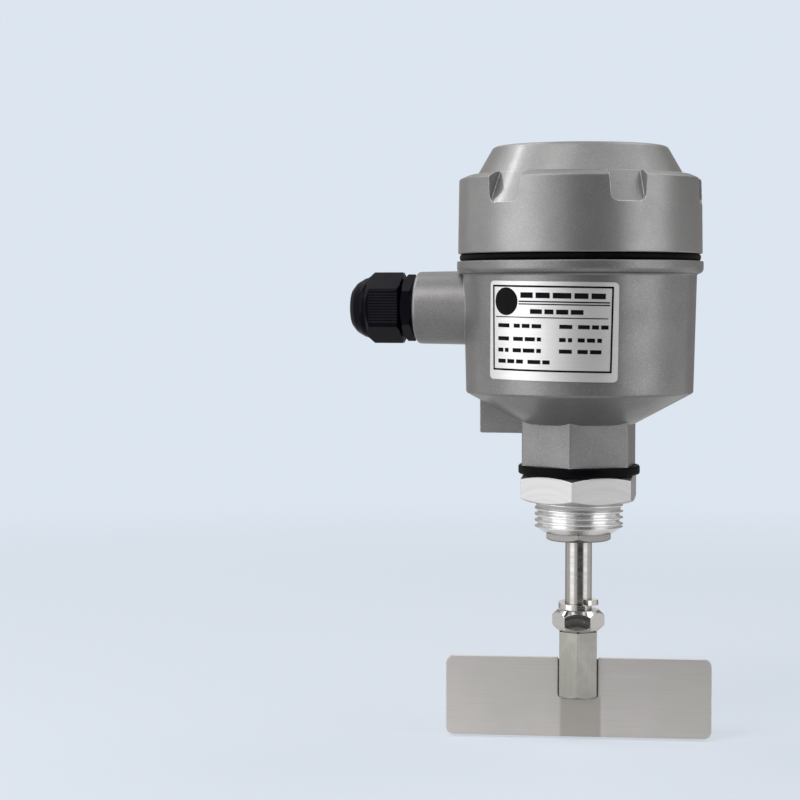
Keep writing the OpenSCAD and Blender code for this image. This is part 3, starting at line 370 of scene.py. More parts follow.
    @staticmethod
    def _moulded_grain(graph: Graph, source: Step, out: Step) -> None:
        """Fine grain of moulded plastic or rubber, with flow marks.

        Args:
            graph: The group's graph.
            source: The group's inputs.
            out: The group's outputs.
        """
        out["Height"] = graph.noise(source["Vector"], source["Grain Scale"], 3.0, 0.65)
        out["Flow"] = graph.noise(source["Vector"], 160.0)

    @staticmethod
    def _settled_dust(graph: Graph, source: Step, out: Step) -> None:
        """Dust in patches, with painted shade: darker where ambient occlusion finds corners and
        recesses.

        Args:
            graph: The group's graph.
            source: The group's inputs.
            out: The group's outputs.
        """
        # Painted shade: ambient occlusion darkens corners, creases and recesses.
        hidden = graph.add("ShaderNodeAmbientOcclusion", {"Distance": source["Depth"]},
                           samples=6)["AO"]
        patches = graph.noise(source["Vector"], 350.0, 4.0, 0.65)
        out["Mask"] = graph.remap(hidden, 0.75, 0.25) * graph.remap(patches, 0.3, 0.7, 0.4, 1.0)


EFFECTS = EffectLibrary()


@dataclass
class Surface:
    """What a finish's pattern gives to its shader."""

    color: Value
    roughness: Value
    height: Value


@dataclass(frozen=True)
class Finish:
    """Common part of every finish: one Principled shader with edges lightened as wear and
    painted highlight, and corners darkened as dust and painted shade.
    """

    name: str
    color: Color
    roughness: float = 0.4
    metallic: float = 0.0
    edge_radius: float = 0.25 * MM
    # Edge colour and share: wear along the edges, and a painted highlight there.
    edge_color: Optional[Color] = None
    edge_share: float = 0.5
    # Colour and share of dust with painted shade in corners.
    dust_color: Color = (0.10, 0.095, 0.085)
    dust_share: float = 0.5
    bump: float = 0.02 * MM
    ior: float = 1.5
    coat: float = 0.0
    coat_roughness: float = 0.1

    def pattern(self, graph: Graph, vector: Out) -> Surface:
        """Return the finish's own colour, roughness and height.

        Args:
            graph: The material's graph.
            vector: Object coordinates.

        Returns:
            The surface that the shader takes.
        """
        raise NotImplementedError

    def vary(self, graph: Graph, value: Out, lo: float, hi: float, less: float,
             more: float) -> Out:
        """Return the roughness, less at a pattern's low values and more at its high ones."""
        return graph.remap(value, lo, hi, self.roughness - less, self.roughness + more)

    def build(self) -> bpy.types.Material:
        """Make the material.

        Returns:
            The new material.
        """
        material, graph, shader = new_shader(self.name)
        vector = graph.add("ShaderNodeTexCoord")["Object"]
        surface = self.pattern(graph, vector)
        edges = EFFECTS.place(graph, Effect.EDGES, vector, {"Radius": self.edge_radius})
        # Corners and recesses darken from ambient occlusion: dust in patches, with painted
        # shade.
        dust_and_shade = EFFECTS.place(graph, Effect.DUST, vector)["Mask"] * self.dust_share
        # Lighter edges: partly wear, partly a painted highlight along every edge.
        bright = self.edge_color or tuple(min(1.0, 1.35 * c + 0.03) for c in self.color)
        color = graph.mix(edges["Mask"] * self.edge_share, surface.color, bright)
        shader["Base Color"] = graph.mix(dust_and_shade, color, self.dust_color)
        shader["Roughness"] = graph.clamp(dust_and_shade * 0.3 + surface.roughness)
        shader["Metallic"] = self.metallic
        shader["IOR"] = self.ior
        if self.coat:
            shader["Coat Weight"] = self.coat
            shader["Coat Roughness"] = self.coat_roughness
        shader["Normal"] = graph.add("ShaderNodeBump", {
            "Strength": 1.0, "Distance": self.bump, "Height": surface.height,
            "Normal": edges["Normal"]})["Normal"]
        return material


@dataclass(frozen=True)
class CastPaint(Finish):
    """Metallic powder paint over a die casting."""

    coat: float = 0.3
    coat_roughness: float = 0.18
    flake_color: Color = (0.75, 0.75, 0.74)
    flake_share: float = 0.13

    def pattern(self, graph: Graph, vector: Out) -> Surface:
        """Return paint with orange peel, flakes and soft blotches.

        Args:
            graph: The material's graph.
            vector: Object coordinates.

        Returns:
            The surface that the shader takes.
        """
        skin = EFFECTS.place(graph, Effect.CAST, vector)
        blotch = skin["Blotch"]
        color = graph.mix(graph.remap(blotch, 0.3, 0.7), self.color, shade(self.color, 0.88))
        color = graph.mix(skin["Flakes"] * self.flake_share, color, self.flake_color)
        return Surface(color, self.vary(graph, blotch, 0.3, 0.7, 0.03, 0.05), skin["Height"])


@dataclass(frozen=True)
class TurnedMetal(Finish):
    """Metal finished on a lathe, with lines round an axis and cloudy marks."""

    metallic: float = 1.0
    contrast: float = 0.16
    stain_color: Color = (0.30, 0.27, 0.23)
    stain_share: float = 0.25

    def pattern(self, graph: Graph, vector: Out) -> Surface:
        """Return metal with turned lines, bands and light stains.

        Args:
            graph: The material's graph.
            vector: Object coordinates.

        Returns:
            The surface that the shader takes.
        """
        lines = EFFECTS.place(graph, Effect.TURNED, vector)
        clouds = EFFECTS.place(graph, Effect.CLOUDS, vector, {"Cloud Scale": 90.0})
        tone = lines["Lines"] + lines["Bands"]
        color = graph.mix(graph.remap(tone, 0.7, 1.3), shade(self.color, 1.0 - self.contrast),
                          self.color)
        stain = graph.remap(clouds["Clouds"], 0.45, 0.75) * self.stain_share
        rough = self.vary(graph, tone, 0.7, 1.3, -0.08, -0.04)
        return Surface(graph.mix(stain, color, self.stain_color),
                       clouds["Specks"] * 0.12 + rough, lines["Lines"])


@dataclass(frozen=True)
class BrushedMetal(Finish):
    """Sheet or bar metal with drawn lines, scratches and cloudy marks."""

    metallic: float = 1.0
    turn: Point = (0.0, 0.0, 0.0)
    contrast: float = 0.08
    cool_color: Color = (0.50, 0.50, 0.47)
    cloud_scale: float = 45.0

    def pattern(self, graph: Graph, vector: Out) -> Surface:
        """Return metal with drawn lines, scratches and clouds.

        Args:
            graph: The material's graph.
            vector: Object coordinates.

        Returns:
            The surface that the shader takes.
        """
        lines = EFFECTS.place(graph, Effect.BRUSHED, graph.lay(vector, self.turn))
        clouds = EFFECTS.place(graph, Effect.CLOUDS, vector,
                               {"Cloud Scale": self.cloud_scale})["Clouds"]
        color = graph.mix(graph.remap(clouds, 0.35, 0.65), self.color, self.cool_color)
        marks = graph.remap(lines["Lines"], 0.3, 0.7, 1.0, 0.0) * self.contrast
        rough = self.vary(graph, clouds, 0.3, 0.7, 0.04, 0.06)
        return Surface(graph.mix(marks, color, shade(self.color, 0.35)),
                       lines["Scratches"] * 0.1 + rough, lines["Lines"])


@dataclass(frozen=True)
class CouplerReflectionSheet(BrushedMetal):
    """Brushed sheet with a dull, warm band under the coupler, a painted reflection of the
    coupler.
    """

    band_half: float = 7.3 * MM
    band_shift: float = 0.9 * MM
    band_feather: float = 1.3 * MM
    band_top: float = -74.4 * MM
    band_color: Color = (0.33, 0.295, 0.25)
    band_share: float = 0.46
    band_turn: float = math.radians(7.0)
    band_rough: float = 0.12
    top_fade: tuple[float, float] = (1.5 * MM, 0.5 * MM)
    wobble: float = 0.6 * MM
    wobble_scale: float = 120.0

    def pattern(self, graph: Graph, vector: Out) -> Surface:
        """Return brushed metal with the painted reflection of the coupler, a warm band under it.

        Args:
            graph: The material's graph.
            vector: Object coordinates.

        Returns:
            The surface that the shader takes.
        """
        surface = super().pattern(graph, vector)
        across, _, up = graph.split(graph.lay(vector, (0, 0, -self.band_turn),
                                              (-self.band_shift, 0, 0)))
        edge = (graph.noise(vector, self.wobble_scale) * self.wobble
                + graph.math("ABSOLUTE", across))
        inside = graph.remap(edge, self.band_half, self.band_half + self.band_feather, 1.0, 0.0)
        above, under = self.top_fade
        below = graph.remap(up, self.band_top + above, self.band_top - under)
        share = inside * below * self.band_share
        # Painted reflection of the coupler: a dull, warm band in the blade under it.
        surface.color = graph.mix(share, surface.color, self.band_color)
        surface.roughness = share * self.band_rough + surface.roughness
        return surface


@dataclass(frozen=True)
class Moulded(Finish):
    """Moulded plastic or rubber."""

    bloom_color: Color = (0.05, 0.05, 0.055)

    def pattern(self, graph: Graph, vector: Out) -> Surface:
        """Return plastic with fine grain, flow marks and a faint bloom.

        Args:
            graph: The material's graph.
            vector: Object coordinates.

        Returns:
            The surface that the shader takes.
        """
        grain = EFFECTS.place(graph, Effect.GRAIN, vector)
        color = graph.mix(graph.remap(grain["Flow"], 0.35, 0.65) * 0.6, self.color,
                          self.bloom_color)
        return Surface(color, self.vary(graph, grain["Flow"], 0.35, 0.65, 0.0, 0.06),
                       grain["Height"])


@dataclass(frozen=True)
class Laminate(Finish):
    """Pressed paper laminate, with a faint weave."""

    weave: float = 1400.0

    def pattern(self, graph: Graph, vector: Out) -> Surface:
        """Return laminate with crossed fibres and darker flecks.

        Args:
            graph: The material's graph.
            vector: Object coordinates.

        Returns:
            The surface that the shader takes.
        """
        x, y, _ = graph.split(vector)
        warp, weft = (graph.math("SINE", way * (self.weave * math.tau)) for way in (x, y))
        cross = warp * weft
        flecks = graph.noise(vector, 700.0, 3.0, 0.6)
        color = graph.mix(graph.remap(flecks, 0.35, 0.7), self.color, shade(self.color, 0.55))
        color = graph.mix(graph.remap(cross, -1.0, 1.0, 0.0, 0.25), color,
                          shade(self.color, 1.3))
        return Surface(color, self.roughness, cross * 0.3 + flecks)


@dataclass(frozen=True)
class Foil(Finish):
    """Thin silver foil, brushed round the bowl."""

    def pattern(self, graph: Graph, vector: Out) -> Surface:
        """Return foil with lines round the bowl and soft dents.

        Args:
            graph: The material's graph.
            vector: Object coordinates.

        Returns:
            The surface that the shader takes.
        """
        lines = EFFECTS.place(graph, Effect.TURNED, vector, {"Line Scale": 9000.0})["Lines"]
        dents = graph.noise(vector, 90.0, 1.0, 0.4)
        color = graph.mix(graph.remap(lines, 0.3, 0.7, 0.0, 0.35), self.color,
                          shade(self.color, 0.75))
        return Surface(color, self.vary(graph, lines, 0.3, 0.7, 0.03, 0.06), dents * 6.0 + lines)


@contextmanager
def editing(mesh: bpy.types.Mesh) -> Iterator[bmesh.types.BMesh]:
    """Open a mesh for editing and write the result back into it.

    Args:
        mesh: The mesh, which may be an empty one.

    Yields:
        The open mesh.
    """
    work = bmesh.new()
    work.from_mesh(mesh)
    yield work
    work.to_mesh(mesh)
    work.free()


class Part(Graph):
    """One Geometry Nodes tree with named size inputs, and the plain mesh it gives."""

    def __init__(self, name: str, sizes: dict[str, float],
                 material: bpy.types.Material) -> None:
        """Make the tree with its inputs.

        Args:
            name: Name of the piece.
            sizes: Name and value of each size input.
            material: Finish that Set Material gives to the result.
        """
        super().__init__(bpy.data.node_groups.new(f"{name}_nodes", "GeometryNodeTree"))
        self.name, self.sizes, self.material = name, sizes, material
        self.socket("Geometry", "INPUT", "Geometry")
        self.keys = {label: self.socket(label, "INPUT", "Float", size)
                     for label, size in sizes.items()}
        self.socket("Geometry", "OUTPUT", "Geometry")
        self.source, self.out = self.add("NodeGroupInput"), self.add("NodeGroupOutput")

    def __getitem__(self, label: str) -> Out:
        """Return a named size."""
        return self.source[label]

    def position(self) -> list[Out]:
        """Return the X, Y and Z of each point."""
        return self.split(self.add("GeometryNodeInputPosition")[0])

    def transform(self, geometry: Out, turn: Sequence[float] = (0, 0, 0),
                  shift: Value = (0, 0, 0)) -> Out:
        """Return geometry that is turned, then shifted."""
        return self.add("GeometryNodeTransform", {"Geometry": geometry, "Rotation": turn,
                                                  "Translation": shift})[0]

    def gather(self, *pieces: Out) -> Out:
        """Join geometry into one, in the order given.

        Args:
            *pieces: The geometry to join.

        Returns:
            The joined geometry.
        """
        whole = self.add("GeometryNodeJoinGeometry")
        for piece in pieces:
            whole[0] = piece
        return whole[0]

    def finish(self, geometry: Out, base: Optional[bpy.types.Mesh] = None,
               angle: float = 30.0) -> bpy.types.Object:
        """End the tree, apply it and return the plain piece.

        Args:
            geometry: The tree's last geometry.
            base: Mesh that the modifier works on, or None for an empty one.
            angle: Edges sharper than this, in degrees, stay sharp.

        Returns:
            The piece, with its place in its mesh.
        """
        realized = self.add("GeometryNodeRealizeInstances", {0: geometry})
        self.out[0] = self.add("GeometryNodeSetMaterial", {0: realized[0],
                                                           "Material": self.material})[0]
        seed = bpy.data.objects.new(f"{self.name}_seed",
                                    base or bpy.data.meshes.new(f"{self.name}_seed"))
        bpy.context.scene.collection.objects.link(seed)
        modifier = seed.modifiers.new(self.name, "NODES")
        modifier.node_group = self.tree
        for label, size in self.sizes.items():
            modifier[self.keys[label]] = size
        ready = seed.evaluated_get(bpy.context.evaluated_depsgraph_get())
        mesh = bpy.data.meshes.new_from_object(ready)
        seed.modifiers.remove(modifier)
        bpy.data.objects.remove(seed)
        return plain_piece(self.name, mesh, self.material, angle)


def plain_piece(name: str, mesh: bpy.types.Mesh, material: bpy.types.Material,
                angle: float = 30.0) -> bpy.types.Object:
    """Merge a mesh's doubles, point its faces outwards and make it an object.

    Args:
        name: Name of the piece.
        mesh: The piece's mesh.
        material: Its finish.
        angle: Edges sharper than this, in degrees, stay sharp.

    Returns:
        The linked object.
    """
    with editing(mesh) as work:
        bmesh.ops.remove_doubles(work, verts=work.verts, dist=1e-7)
        bmesh.ops.dissolve_degenerate(work, edges=work.edges, dist=1e-8)
        bmesh.ops.recalc_face_normals(work, faces=work.faces)
        for edge in work.edges:
            edge.smooth = (len(edge.link_faces) == 2
                           and edge.calc_face_angle(0.0) < math.radians(angle))
        for face in work.faces:
            face.smooth = True
    mesh.materials.clear()
    mesh.materials.append(material)
    mesh.name = name
    piece = bpy.data.objects.new(name, mesh)
    bpy.context.scene.collection.objects.link(piece)
    return piece


def skin(work: bmesh.types.BMesh, rings: Sequence[Sequence[bmesh.types.BMVert]]) -> None:
    """Join rings of points into a tube with closed ends.

    Args:
        work: Mesh that takes the faces.
        rings: The rings in order, each with the same number of points.
    """
    for a, b in zip(rings, rings[1:]):
        for k in range(len(a)):
            m = (k + 1) % len(a)
            work.faces.new((a[k], a[m], b[m], b[k]))
    work.faces.new(rings[0][::-1])
    work.faces.new(rings[-1])


def settle(piece: bpy.types.Object, body: str, slot: str, *nodes: str) -> None:
    """Ride a piece on a body, hide the nodes it replaces and log it.

    Args:
        piece: The piece.
        body: CAD body that it rides on.
        slot: Name of its material slot, which only goes into the log.
        *nodes: CAD nodes that it replaces.
    """
    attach(piece, body)
    announce(piece, slot, *nodes)


def announce(piece: bpy.types.Object, slot: str, *nodes: str) -> None:
    """Hide the nodes that a piece replaces, and log its face count and its slot's name.

    Args:
        piece: The piece.
        slot: Name of its material slot, which only goes into the log.
        *nodes: CAD nodes that it replaces.
    """
    if nodes:
        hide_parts(*nodes)
    LOG.info("%s: %d faces, finish %s", piece.name, len(piece.data.polygons), slot)


@dataclass
class SoftBox:
    """A rectangular soft light that faces the object."""

    name: str
    azimuth: float
    elevation: float
    width: float
    height: float
    power: float


@dataclass
class Card:
    """A flat card out of sight, which shiny surfaces mirror as a darker band."""

    azimuth: float
    half_angle: float
    low: float
    high: float
    level: float


@dataclass
class Studio:
    """Plain pale floor, soft boxes, dark cards out of sight, and the camera."""

    floor_z: float = -90.2 * MM
    floor_half: float = 6.0
    floor_color: Color = (0.48, 0.50, 0.53)
    floor_glow: Color = (0.36, 0.40, 0.45)
    fade: tuple[float, float] = (0.3, 0.95)
    background: Color = (0.72, 0.79, 0.87)
    mirrored: Color = (0.76, 0.76, 0.76)
    mirrored_below: float = 0.8
    horizon: tuple[float, float] = (-0.6, -0.24)
    fill: float = 0.40
    lens: float = 94.5
    sensor: float = 36.0
    view_azimuth: float = 8.3
    view_distance: float = 0.790
    view_height: float = 77.0 * MM
    aim_side: float = -67.5 * MM
    aim_height: float = 37.6 * MM
    box_distance: float = 1.1
    boxes: tuple[SoftBox, ...] = (
        SoftBox("left_box", -58, 16, 0.89, 1.3, 4.9),
        SoftBox("right_box", 62, 16, 0.85, 1.3, 3.3),
        SoftBox("high_box", -31, 50, 0.5, 0.5, 1.35),
        SoftBox("crown_left", -122, 55, 0.6, 0.45, 1.4),
        SoftBox("crown_right", 120, 58, 0.55, 0.45, 1.25),
        SoftBox("key_box", -101, 44, 0.07, 0.1, 0.7),
    )
    card_distance: float = 1.15
    card_color: Color = (1.0, 0.96, 0.93)
    cards: tuple[Card, ...] = (Card(15.5, 27.5, -0.285, 0.75, 0.04),
                               Card(112.0, 20.0, 0.10, 0.75, 0.24),
                               Card(152.0, 20.0, -0.3, 0.75, 0.28),
                               Card(-150.0, 22.0, -0.3, 0.75, 0.38))

    def direction(self, azimuth: float, elevation: float) -> Vector:
        """Return the unit vector at an azimuth from the camera's and an elevation."""
        turn, rise = math.radians(azimuth + self.view_azimuth), math.radians(elevation)
        return Vector((math.sin(turn) * math.cos(rise), -math.cos(turn) * math.cos(rise),
                       math.sin(rise)))

    def plane(self, name: str, corners: Sequence[Point],
              material: bpy.types.Material) -> bpy.types.Object:
        """Make one flat sheet of the studio and stage it.

        Args:
            name: Name of the sheet.
            corners: Its four corners.
            material: Its material.

        Returns:
            The sheet.
        """
        mesh = bpy.data.meshes.new(name)
        mesh.from_pydata(corners, [], [(0, 1, 2, 3)])
        mesh.materials.append(material)
        sheet = bpy.data.objects.new(name, mesh)
        bpy.context.scene.collection.objects.link(sheet)
        return sheet

    def floor(self) -> None:
        """Lay a large plain floor that keeps the shadow and fades into the backdrop."""
        material, graph, shader = new_shader("pale_floor")
        x, y, _ = graph.split(graph.add("ShaderNodeTexCoord")["Object"])
        far = graph.remap(graph.reach(x, y), *self.fade)
        shader["Base Color"] = graph.mix(far, self.floor_color, (0.0, 0.0, 0.0))
        shader["Roughness"] = 0.9
        shader["Specular IOR Level"] = 0.0
        shader["Emission Color"] = graph.mix(far, self.floor_glow, self.background)
        shader["Emission Strength"] = self.seen(graph)
        half = self.floor_half
        corners = [(x * half, y * half, self.floor_z)
                   for x, y in ((-1, -1), (1, -1), (1, 1), (-1, 1))]
        self.plane("floor", corners, material).visible_glossy = False

    def card(self, index: int, card: Card) -> None:
        """Hang a card where only reflections see it.

        Args:
            index: Number of the card.
            card: Its place, from the camera's direction, and its level.
        """
        name = f"dark_card_{index}"
        turn = math.radians(card.azimuth + self.view_azimuth)
        side = Vector((math.cos(turn), math.sin(turn), 0))
        centre = self.direction(card.azimuth, 0.0) * self.card_distance
        half = self.card_distance * math.tan(math.radians(card.half_angle))
        left, right = centre - side * half, centre + side * half
        material, _, shader = new_shader(name)
        shader["Base Color"] = (0.0, 0.0, 0.0)
        shader["Specular IOR Level"] = 0.0
        shader["Emission Color"] = self.card_color
        shader["Emission Strength"] = card.level
        sheet = self.plane(name, [(*left.xy, card.low), (*right.xy, card.low),
                                  (*right.xy, card.high), (*left.xy, card.high)], material)
        sheet.visible_camera = sheet.visible_diffuse = sheet.visible_shadow = False

    @staticmethod
    def seen(graph: Graph) -> Out:
        """Return 1 for rays that show the backdrop, and 0 for those that light the object."""
        path = graph.add("ShaderNodeLightPath")
        return graph.math("MAXIMUM", path["Is Camera Ray"], graph.math(
            "MAXIMUM", path["Is Glossy Ray"], path["Is Transmission Ray"]))

    def world(self) -> None:
        """Make a pale world that is full strength where it is seen and softer as light."""
        world = bpy.data.worlds.new("pale_world")
        bpy.context.scene.world = world
        world.use_nodes = True
        graph = Graph(world.node_tree)
        up = graph.split(graph.add("ShaderNodeTexCoord")["Generated"])[2]
        around = graph.mix(graph.remap(up, *self.horizon),
                           shade(self.mirrored, self.mirrored_below), self.mirrored)
        direct = graph.add("ShaderNodeLightPath")["Is Camera Ray"]
        back = Step(graph, world.node_tree.nodes["Background"])
        back["Color"] = graph.mix(direct, around, self.background)
        back["Strength"] = graph.add("ShaderNodeMapRange", {0: self.seen(graph), 3: self.fill,
                                                            4: 1.0})[0]

    def lights(self) -> None:
        """Set up the soft boxes, each facing the middle of the object."""
        for box in self.boxes:
            lamp = bpy.data.lights.new(box.name, "AREA")
            lamp.shape = "RECTANGLE"
            lamp.size, lamp.size_y, lamp.energy = box.width, box.height, box.power
            light = bpy.data.objects.new(box.name, lamp)
            toward = self.direction(box.azimuth, box.elevation)
            light.location = toward * self.box_distance + Vector((0, 0, self.aim_height))
            light.rotation_euler = toward.to_track_quat("Z", "Y").to_euler()
            light.visible_camera = False
            bpy.context.scene.collection.objects.link(light)

    def camera(self) -> None:
        """Set the camera at the photograph's viewing angle."""
        turn = math.radians(self.view_azimuth)
        data = bpy.data.cameras.new("photo_camera")
        data.lens, data.sensor_width = self.lens, self.sensor
        data.clip_start, data.clip_end = 0.01, 30.0
        camera = bpy.data.objects.new("photo_camera", data)
        camera.location = (self.view_distance * math.sin(turn),
                           -self.view_distance * math.cos(turn), self.view_height)
        aim = Vector((self.aim_side * math.cos(turn), self.aim_side * math.sin(turn),
                      self.aim_height))
        camera.rotation_euler = (aim - camera.location).to_track_quat("-Z", "Y").to_euler()
        bpy.context.scene.collection.objects.link(camera)
        bpy.context.scene.camera = camera

    def build(self) -> None:
        """Set up the whole studio."""
        self.camera()
        self.world()
        self.lights()
        self.floor()
        for index, card in enumerate(self.cards):
            self.card(index, card)
        bpy.context.scene.view_settings.view_transform = "Standard"


FINISHES: tuple[Finish, ...] = (
    # Housing paint, its colour darkened by about a quarter as painted shade for the neck under
    # the bowl; the lid's paint stays lighter.
    CastPaint("head_paint", (0.258, 0.251, 0.253), 0.40, 0.62, edge_color=(0.88, 0.88, 0.87),
              edge_share=0.85, edge_radius=0.4 * MM, bump=0.012 * MM, dust_share=0.3),
    # Lid paint: near-white edges in full share, a painted highlight along the notch borders and
    # rims, with wear.
    CastPaint("lid_paint", (0.325, 0.325, 0.323), 0.38, 0.65, edge_color=(0.95, 0.95, 0.94),
              edge_share=1.0, edge_radius=0.42 * MM, bump=0.014 * MM, dust_share=0.25),
    Moulded("black_rubber", (0.002, 0.002, 0.003), 0.45, bloom_color=(0.006, 0.006, 0.008),
            bump=0.008 * MM, edge_color=(0.01, 0.01, 0.01), dust_share=0.0, ior=1.14),
    Foil("plate_foil", (0.88, 0.88, 0.885), 0.40, 0.62, bump=0.004 * MM, edge_radius=0.1 * MM,
         dust_share=0.1),
    TurnedMetal("adapter_metal", (0.90, 0.895, 0.90), 0.22, edge_color=(0.97, 0.97, 0.97),
                stain_share=0.0, contrast=0.10, bump=0.004 * MM, dust_share=0.06),
    TurnedMetal("adapter_milled", (0.58, 0.575, 0.58), 0.42, edge_color=(0.95, 0.95, 0.95),
                stain_share=0.05, stain_color=(0.5, 0.5, 0.5), contrast=0.02,
                bump=0.001 * MM, dust_share=0.2),
    TurnedMetal("steel", (0.47, 0.455, 0.44), 0.19, contrast=0.12,
                stain_color=(0.36, 0.32, 0.27), stain_share=0.35,
                edge_color=(0.85, 0.84, 0.82), bump=0.002 * MM, dust_share=0.45,
                edge_radius=0.18 * MM),
    TurnedMetal("nut_steel", (0.64, 0.62, 0.60), 0.10, contrast=0.08,
                stain_color=(0.36, 0.32, 0.27), stain_share=0.2, edge_color=(0.9, 0.89, 0.87),
                bump=0.002 * MM, edge_radius=0.18 * MM),
    BrushedMetal("coupler_steel", (0.31, 0.30, 0.28), 0.22, turn=(0, math.radians(90.0), 0),
                 contrast=0.15, cool_color=(0.27, 0.265, 0.24), cloud_scale=120.0,
                 edge_color=(0.8, 0.79, 0.76), bump=0.002 * MM, edge_radius=0.2 * MM),
    # Packing nut: a darker copy of the steel, painted shade for the nut under the thread.
    TurnedMetal("packing_steel", (0.24, 0.232, 0.225), 0.3, contrast=0.2,
                edge_color=(0.45, 0.44, 0.43), bump=0.004 * MM),
    # Blade steel, with the painted reflection of the coupler under it.
    CouplerReflectionSheet("blade_steel", (0.91, 0.875, 0.86), 0.34, turn=(0, 0, -math.radians(7.0)),
                    bump=0.002 * MM, cool_color=(0.82, 0.815, 0.775), cloud_scale=26.0,
                    edge_share=0.4, edge_radius=0.3 * MM),
    TurnedMetal("bearing_steel", (0.70, 0.70, 0.71), 0.12, contrast=0.06, stain_share=0.05,
                bump=0.0),
    TurnedMetal("dark_spring_steel", (0.16, 0.15, 0.15), 0.3, contrast=0.2, stain_share=0.2,
                bump=0.002 * MM),
    TurnedMetal("spring_steel", (0.62, 0.61, 0.60), 0.2, contrast=0.1, stain_share=0.1,
                bump=0.001 * MM),
    TurnedMetal("plain_steel", (0.63, 0.62, 0.61), 0.24, contrast=0.14, stain_share=0.15,
                bump=0.003 * MM),
    BrushedMetal("passivated", (0.66, 0.62, 0.42), 0.3, cool_color=(0.50, 0.58, 0.52),
                 contrast=0.12, bump=0.003 * MM),
    TurnedMetal("brass", (0.72, 0.55, 0.25), 0.22, contrast=0.12,
                stain_color=(0.38, 0.25, 0.12), bump=0.003 * MM),
    Moulded("nylon_white", (0.78, 0.77, 0.70), 0.42, bloom_color=(0.70, 0.68, 0.60),
            bump=0.006 * MM),
    Laminate("laminate", (0.16, 0.075, 0.035), 0.35, bump=0.006 * MM),
    Moulded("black_plastic", (0.014, 0.014, 0.016), 0.36, bloom_color=(0.03, 0.03, 0.034),
            bump=0.012 * MM),
    Moulded("red_plastic", (0.42, 0.02, 0.015), 0.3, bloom_color=(0.30, 0.02, 0.015),
            bump=0.006 * MM),
    Moulded("black_nylon", (0.002, 0.002, 0.006), 0.2, bloom_color=(0.004, 0.004, 0.010),
            bump=0.004 * MM, edge_color=(0.02, 0.02, 0.032), dust_share=0.0, ior=1.15),
    # Rib nylon: lighter edges, a painted highlight along each rib.
    Moulded("ribbed_nylon", (0.004, 0.004, 0.010), 0.22, bloom_color=(0.006, 0.006, 0.014),
            bump=0.002 * MM, edge_color=(0.03, 0.03, 0.045), edge_share=0.8,
            edge_radius=0.1 * MM, dust_share=0.0, ior=1.28),
    Moulded("ink", (0.006, 0.006, 0.007), 0.5, bloom_color=(0.012, 0.012, 0.012),
            bump=0.002 * MM, edge_radius=0.02 * MM, dust_share=0.0, ior=1.15),
)


@dataclass
class Wardrobe:
    """The material slots' finishes, and the nodes that have a finish of their own."""

    finishes: dict[str, Finish] = field(
        default_factory=lambda: {finish.name: finish for finish in FINISHES})
    # The packing nut takes its darker steel as painted shade.
    own: dict[str, str] = field(default_factory=lambda: {
        "jam_nut": "nut_steel", "spring_washer": "nut_steel", "coupler": "coupler_steel",
        "packing_nut": "packing_steel"})
    made: dict[str, bpy.types.Material] = field(default_factory=dict)

    def material(self, name: str) -> bpy.types.Material:
        """Return a finish's material, made on first use."""
        if name not in self.made:
            self.made[name] = self.finishes[name].build()
        return self.made[name]

    def dress_nodes(self) -> None:
        """Give every CAD node its own finish, or else its slot's."""
        for name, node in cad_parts.items():
            for place in node.material_slots:
                slot = place.material.name.split(".")[0]
                place.material = self.material(self.own.get(name, slot))
            LOG.info("node %s dressed", name)


